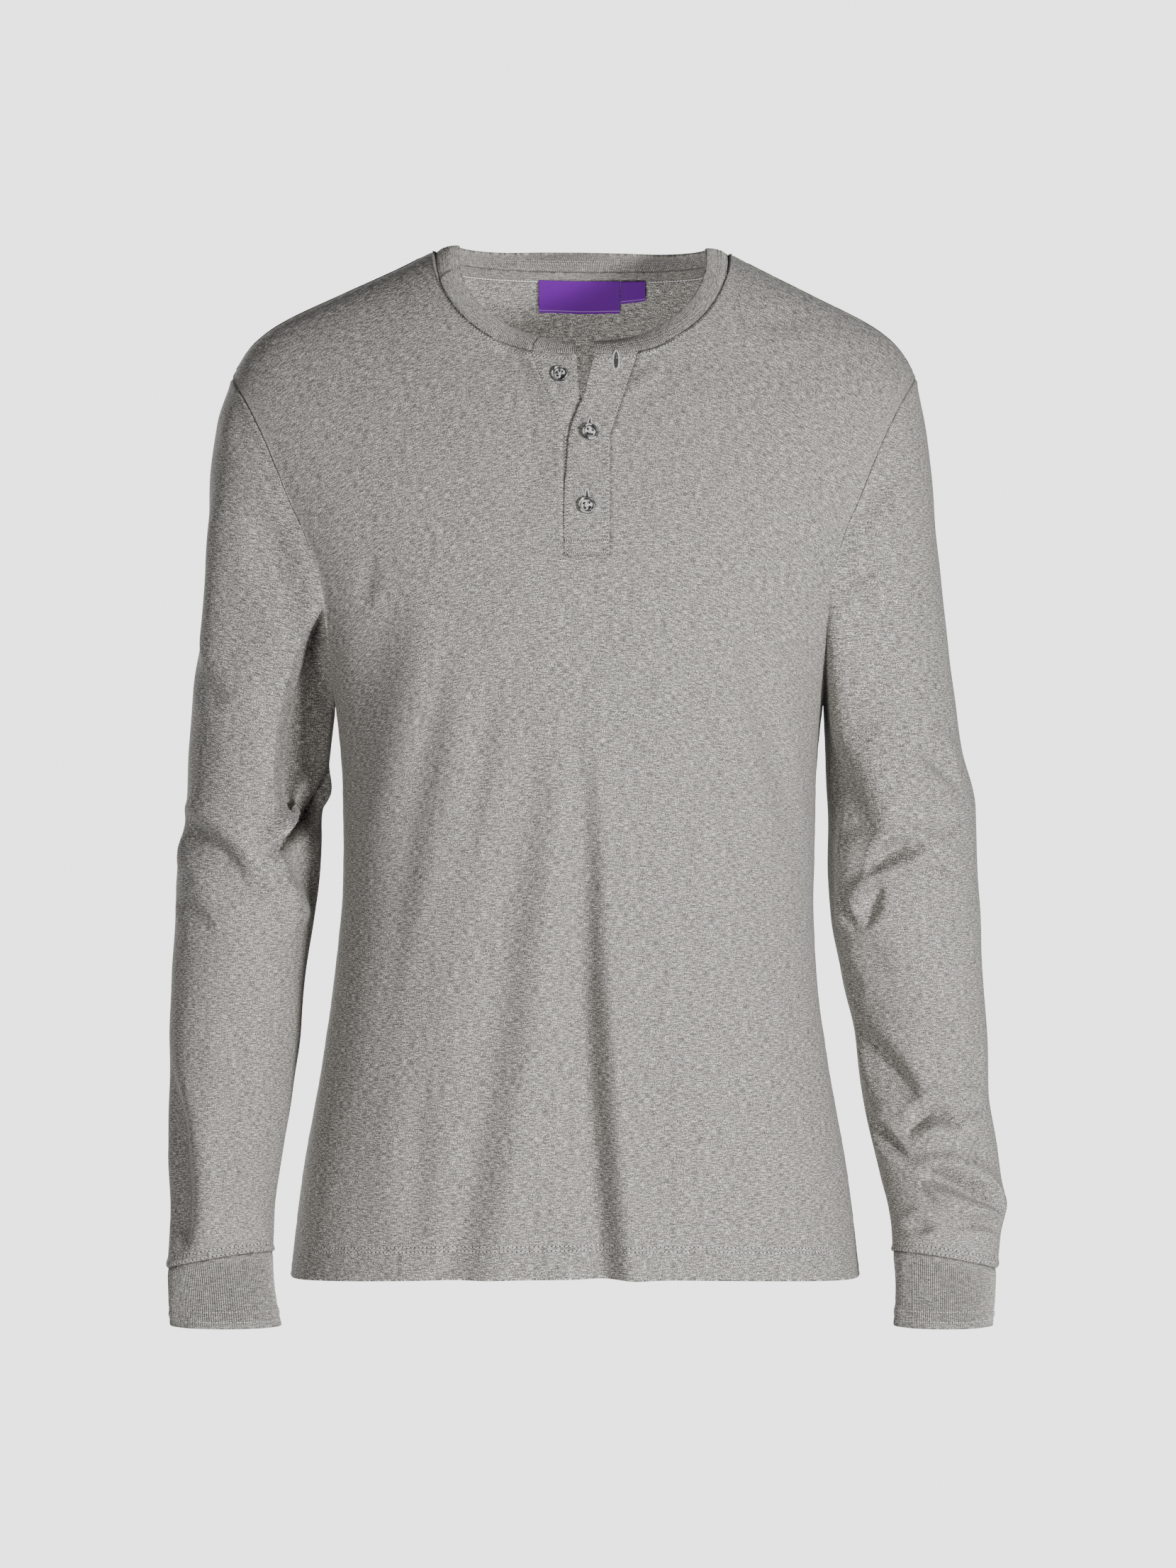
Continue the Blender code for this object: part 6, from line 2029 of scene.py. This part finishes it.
# ---------------------------------------------------------------- the shirt
class Shirt:
    """The whole garment: works out every wall, sews their edges together, and adds the details."""

    def __init__(self) -> None:
        """Works out the walls of all cloth pieces."""
        self.front_panel = BodyPanel(Side.FRONT, FRONT_FOLDS, 0.4)
        self.back_panel = BodyPanel(Side.BACK, BACK_FOLDS, 2.9)
        self.front, self.back = self.front_panel.wall(), self.back_panel.wall()
        self.sleeves = [Sleeve(Arm.RIGHT, RIGHT_SLEEVE_FOLDS, RIGHT_FLANK),
                        Sleeve(Arm.LEFT, LEFT_SLEEVE_FOLDS, LEFT_FLANK)]
        self.sleeve_walls = [sleeve.wall(self.front, self.back) for sleeve in self.sleeves]
        share_normals([self.front, self.back, *self.sleeve_walls])
        self.cuff_walls = [Cuff(sleeve).wall() for sleeve in self.sleeves]
        self.over, self.under = PlacketBand(True), PlacketBand(False)
        self.over_wall = self.over.wall(self.front, self.front_panel)
        self.under_wall = self.under.wall(self.front, self.front_panel)
        self.band_wall = Neckband().wall(self.neck_seam())

    def neck_seam(self) -> Array:
        """The neck seam, from the under band's free edge, round the back, to the over band's."""
        slot_left, slot_right = self.front_panel.slot_columns()
        neck_left, neck_right = self.front_panel.neck_columns()
        back_left, back_right = self.back_panel.neck_columns()
        return np.concatenate([self.under_wall.outer[:0:-1, -1], self.front.outer[-1, slot_left:neck_left:-1],
                               self.back.outer[-1, back_left:back_right],
                               self.front.outer[-1, neck_right:slot_right:-1], self.over_wall.outer[:, -1]])

    def place(self, piece: bpy.types.Object, slot: str, node: str | None = None) -> bpy.types.Object:
        """Fixes a piece to the garment and hides the model's part that it replaces.

        Args:
            piece: the piece.
            slot: not used.
            node: the node that it replaces.

        Returns:
            The piece.
        """
        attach(piece, "root")
        if node:
            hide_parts(node)
        LOG.info("%s: %d faces", piece.name, len(piece.data.polygons))
        return piece

    def add_cloth(self) -> None:
        """Adds the walls."""
        calm = (0.105, 0.140, 0.200, 0.280, 0.420)
        jersey = HeatherFinish("heather jersey").material()
        rib = HeatherFinish("heather rib", greys=calm, spread=0.14, bump=0.00012, painted_rib_shading=0.62).material()
        tape = HeatherFinish("tape jersey", greys=tuple(0.9 * grey for grey in calm)).material()
        walls = [(self.front, "front_panel", jersey, (0.56, 0.72), 0.330),
                 (self.back, "back_panel", jersey, (0.56, 0.73), 0.345),
                 (self.sleeve_walls[0], "sleeve_right", jersey, (0.40, 0.62), 0.165),
                 (self.sleeve_walls[1], "sleeve_left", jersey, (0.40, 0.62), 0.165),
                 (self.cuff_walls[0], "cuff_right", rib, (0.20, 0.045), None),
                 (self.cuff_walls[1], "cuff_left", rib, (0.20, 0.045), None),
                 (self.over_wall, "placket_over", jersey, (0.031, 0.150), None),
                 (self.under_wall, "placket_under", jersey, (0.031, 0.150), None),
                 (self.band_wall, "neckband", rib, (0.56, 0.0165), None)]
        for wall, node, material, flat, area in walls:
            piece = self.place(wall.build(material), node, node)
        ribbons = {"neck_label": RibbonFinish("purple ribbon", 0.0208).material(),
                   "size_label": RibbonFinish("purple tab", 0.0144).material(), "neck_tape": tape}
        for strip in STRIPS:
            piece = self.place(strip.wall(self.back).build(ribbons[strip.node]), strip.node, strip.node)

    def add_rows(self, name: str, node: str, kind: Stitch, lines: list[Line], hole: float = 0.0) -> None:
        """Adds rows of stitches, with dark dots between them painted as the shade in the needle's holes.

        Args:
            name: the piece's name.
            node: passed on to place, and not used there.
            kind: the kind of stitch.
            lines: where the rows run.
            hole: the radius of the dark dots painted as the shade in the needle's holes, or 0 for none.
        """
        self.place(add_stitches(name, kind, [kind.along(line) for line in lines], self.thread), node)
        if hole:
            spots = [kind.holes(line) for line in lines]
            # dark dots painted as the shade in the needle's holes
            self.place(add_dots(name + "_holes", spots, hole, self.shade), node)

    def add_stitching(self) -> None:
        """Adds every visible row of stitches."""
        self.thread = ThreadFinish("grey thread").material()
        # dark thread for the sleeve seams, and for the row painted as the shadow under the tape's chain
        self.dark_thread_and_shadow = ThreadFinish("dark thread and painted shadow", (0.075, 0.073, 0.069)).material()
        # painted shade of the needle's holes, for the dark dots
        self.shade = PlainFinish("painted needle hole shade", (0.020, 0.020, 0.019)).material()
        hem = [wall.line("foot", above) for wall in (self.front, self.back) for above in FORM.hem_rows]
        self.add_rows("hem_coverstitch", "front_panel", COVERSTITCH, hem, 0.00062)
        for sleeve, cuff in zip(self.sleeve_walls, self.cuff_walls):
            name = "cuff_right" if "right" in cuff.name else "cuff_left"
            rows = [sleeve.line("top", above) for above in WRIST_ROWS]
            rows += [cuff.line("top", above) for above in CUFF_ROWS]
            self.add_rows(name + "_coverstitch", name, COVERSTITCH, rows, 0.00058)
            name = name.replace("cuff", "sleeve")
            seam = [SEAM_STITCH.along(sleeve.line("foot", 0.0003, 0.0002))]
            self.place(add_stitches(name + "_seam_stitches", SEAM_STITCH, seam, self.dark_thread_and_shadow), name)
        self.add_neck_stitches()
        self.add_placket_stitches()

    def add_neck_stitches(self) -> None:
        """Adds the rows along the neck seam, on the neckband, and on the neck tape."""
        slot_left, slot_right = self.front_panel.slot_columns()
        neck_left, neck_right = self.front_panel.neck_columns()
        back_left, back_right = self.back_panel.neck_columns()
        rows, ladder = [], []
        for wall, edge, part in ((self.front, "top", slice(neck_left, slot_left + 1)),
                                 (self.front, "top", slice(slot_right, neck_right + 1)),
                                 (self.back, "top", slice(back_left, back_right + 1)),
                                 (self.over_wall, "last", slice(None)),
                                 (self.under_wall, "last", slice(None))):
            rows.append(wall.line(edge, NECK_ROW, 0.0, part))
            ladder.append(wall.line(edge, NECK_LADDER, 0.0001, part))
        band = self.band_wall
        rows += [band.line("foot", share * Neckband.width, 0.0003) for share in Neckband.stitch_rows]
        self.add_rows("neck_topstitch", "neckband", TOPSTITCH, rows, 0.00052)
        cover = ThreadFinish("cover thread", (0.17, 0.165, 0.155)).material()
        rungs = [LADDER.along(line) for line in ladder]
        self.place(add_stitches("neck_cover_thread", LADDER, rungs, cover), "neckband")
        inside = []
        for share in INNER_ROWS:
            points, normals = band.line("foot", share * Neckband.width, -DOUBLE - 0.0002)
            behind = points[:, 1] > 0.0
            inside.append((points[behind], -normals[behind]))
        self.add_rows("neckband_inner_stitch", "neckband", TOPSTITCH, inside, 0.00042)
        tape, chains, shadows = STRIPS[0].wall(self.back), [], []
        for part in (slice(4, 33), slice(72, 93)):
            for above, kind, rows in ((TAPE_CHAIN, CHAIN, chains), (TAPE_SHADOW, COVERSTITCH, shadows)):
                points, normals = tape.line("top", above, -STRIPS[0].thickness - 0.0003, part)
                rows.append(kind.along((points, -normals)))
        pale = ThreadFinish("pale thread", (0.84, 0.83, 0.80)).material()
        # the dark row just under the pale chain is its painted shadow
        for name, kind, spots, thread in (("neck_tape_chain_stitch", CHAIN, chains, pale),
                                          ("neck_tape_painted_shadow_row", COVERSTITCH, shadows, self.dark_thread_and_shadow)):
            self.place(add_stitches(name, kind, spots, thread), "neck_tape")

    def add_placket_stitches(self) -> None:
        """Adds the placket's topstitching, its boxed foot and the corded buttonholes."""
        over, under, thread = self.over_wall, self.under_wall, self.thread
        rows = [over.line("top", 0.0018), over.line("foot", 0.0012), under.line("foot", 0.0012)]
        self.add_rows("placket_topstitch", "placket_over", TOPSTITCH, rows, 0.00046)
        box = [over.line("first", above, 0.0001) for above in BOX_ROWS]
        box.append(under.line("foot", 0.0002, -0.0001))
        self.add_rows("placket_box_stitch", "placket_over", BOX_STITCH, box, 0.00050)
        # painted shade: a near-black lens laid in each buttonhole's slit
        slit = PlainFinish("slit shade", (0.030, 0.030, 0.028)).material()
        cords = []
        for hole in BUTTONHOLES:
            cords.append(CORD.along(hole.outline(self.over, 0.0005, 0.00035)))
            points, _ = hole.outline(self.over, 0.0, 0.00022)
            inner, _ = hole.outline(self.over, -0.0004, 0.00012)
            count, name = len(points), "buttonhole_" + hole.name
            corners = np.concatenate([tube_faces(2, count).ravel(), count + np.arange(count)])
            sizes = np.concatenate([np.full(count, 4), [count]])
            # the dark lens is painted shade inside the slit
            lens = add_mesh(name + "_slit_painted_shade", np.vstack([points, inner]), corners, sizes, slit)
            self.place(lens, "placket_over")
            edge = add_cord(name + "_cord", hole.outline(self.over, 0.0004, 0.0003), 0.0007, thread)
            # the whole cord takes a share of the thread's painted hole shade
            add_mark(edge, "bare", np.full(len(edge.data.vertices), 0.8))
            self.place(edge, "placket_over")
        self.place(add_stitches("buttonhole_stitches", CORD, cords, thread), "placket_over")

    def add_buttons(self) -> None:
        """Adds the buttons and the threads through their holes."""
        pearl = PearlFinish("smoky pearl").material()
        thread = ThreadFinish("button thread", (0.50, 0.49, 0.47)).material()
        kind = Stitch(0.001, 0.0040, 0.00042)
        spots = []
        for button in BUTTONS:
            band = self.over if button.buttoned else self.under
            name = "button_%d" % button.number
            self.place(button.build(band, pearl), name, name)
            spots.append(button.threads(band))
        self.place(add_stitches("button_threads", kind, spots, thread), "button_1")


@dataclass(frozen=True)
class Studio:
    """A pale floor, soft lights and a level camera in front of the garment."""

    camera_place: tuple[float, float, float] = (0.0061, -3.2, -0.3704)
    lens: float = 106.3
    floor_height: float = -1.45
    backdrop: float = 2.86
    ambient: float = 0.11

    def build(self) -> None:
        """Adds the camera, the floor, the lights and the even background."""
        camera = bpy.data.objects.new("camera", bpy.data.cameras.new("camera"))
        camera.data.lens = self.lens
        camera.data.sensor_width = 36.0
        camera.location = self.camera_place
        camera.rotation_euler = (math.pi / 2, 0.0, 0.0)
        bpy.context.scene.collection.objects.link(camera)
        bpy.context.scene.camera = camera
        corners = np.array([(-2.6, -2.6), (2.6, -2.6), (2.6, 2.6), (-2.6, 2.6)])
        floor_points = np.column_stack([corners, np.full(4, self.floor_height)])
        floor = add_mesh("floor", floor_points, np.arange(4), np.array([4]),
                         PlainFinish("pale floor", (0.72, 0.72, 0.72)).material())
        self.light("key", (1.80, -2.76, -0.60), 166.0, 0.55)
        self.light("front", (-1.3, -3.3, -0.45), 46.0, 1.2)
        self.light("back", (-1.4, 2.8, 0.2), 100.0, 2.0)
        self.light("inner fill", (0.0, -0.030, -0.22), 0.30, 0.06, (0.0, 0.10, 0.02))
        world = bpy.data.worlds.new("studio")
        world.use_nodes = True
        tree = world.node_tree
        even = tree.nodes["Background"]
        even.inputs["Strength"].default_value = self.ambient
        seen = tree.nodes.new("ShaderNodeBackground")
        seen.inputs["Strength"].default_value = self.backdrop
        for shade in (even, seen):
            shade.inputs["Color"].default_value = (1.0, 1.0, 1.0, 1.0)
        path, mix = tree.nodes.new("ShaderNodeLightPath"), tree.nodes.new("ShaderNodeMixShader")
        tree.links.new(path.outputs["Is Camera Ray"], mix.inputs[0])
        tree.links.new(even.outputs[0], mix.inputs[1])
        tree.links.new(seen.outputs[0], mix.inputs[2])
        tree.links.new(mix.outputs[0], tree.nodes["World Output"].inputs["Surface"])
        bpy.context.scene.world = world

    def light(self, name: str, place: tuple[float, float, float], power: float, size: float,
              target: tuple[float, float, float] = (0.0, 0.0, -0.36)) -> None:
        """Adds a square soft light.

        Args:
            name: its name.
            place: where it stands.
            power: watts.
            size: the length of its side.
            target: what it faces.
        """
        lamp = bpy.data.lights.new(name, "AREA")
        lamp.energy, lamp.size = power, size
        stand = bpy.data.objects.new(name, lamp)
        stand.visible_camera = False
        stand.location = place
        stand.rotation_euler = (Vector(target) - Vector(place)).to_track_quat("-Z", "Y").to_euler()
        bpy.context.scene.collection.objects.link(stand)


def main() -> None:
    """Builds the garment and its studio."""
    logging.basicConfig(level=logging.INFO, format="%(name)s: %(message)s")
    shirt = Shirt()
    shirt.add_cloth()
    shirt.add_stitching()
    shirt.add_buttons()
    Studio().build()


if __name__ == "__main__":
    main()
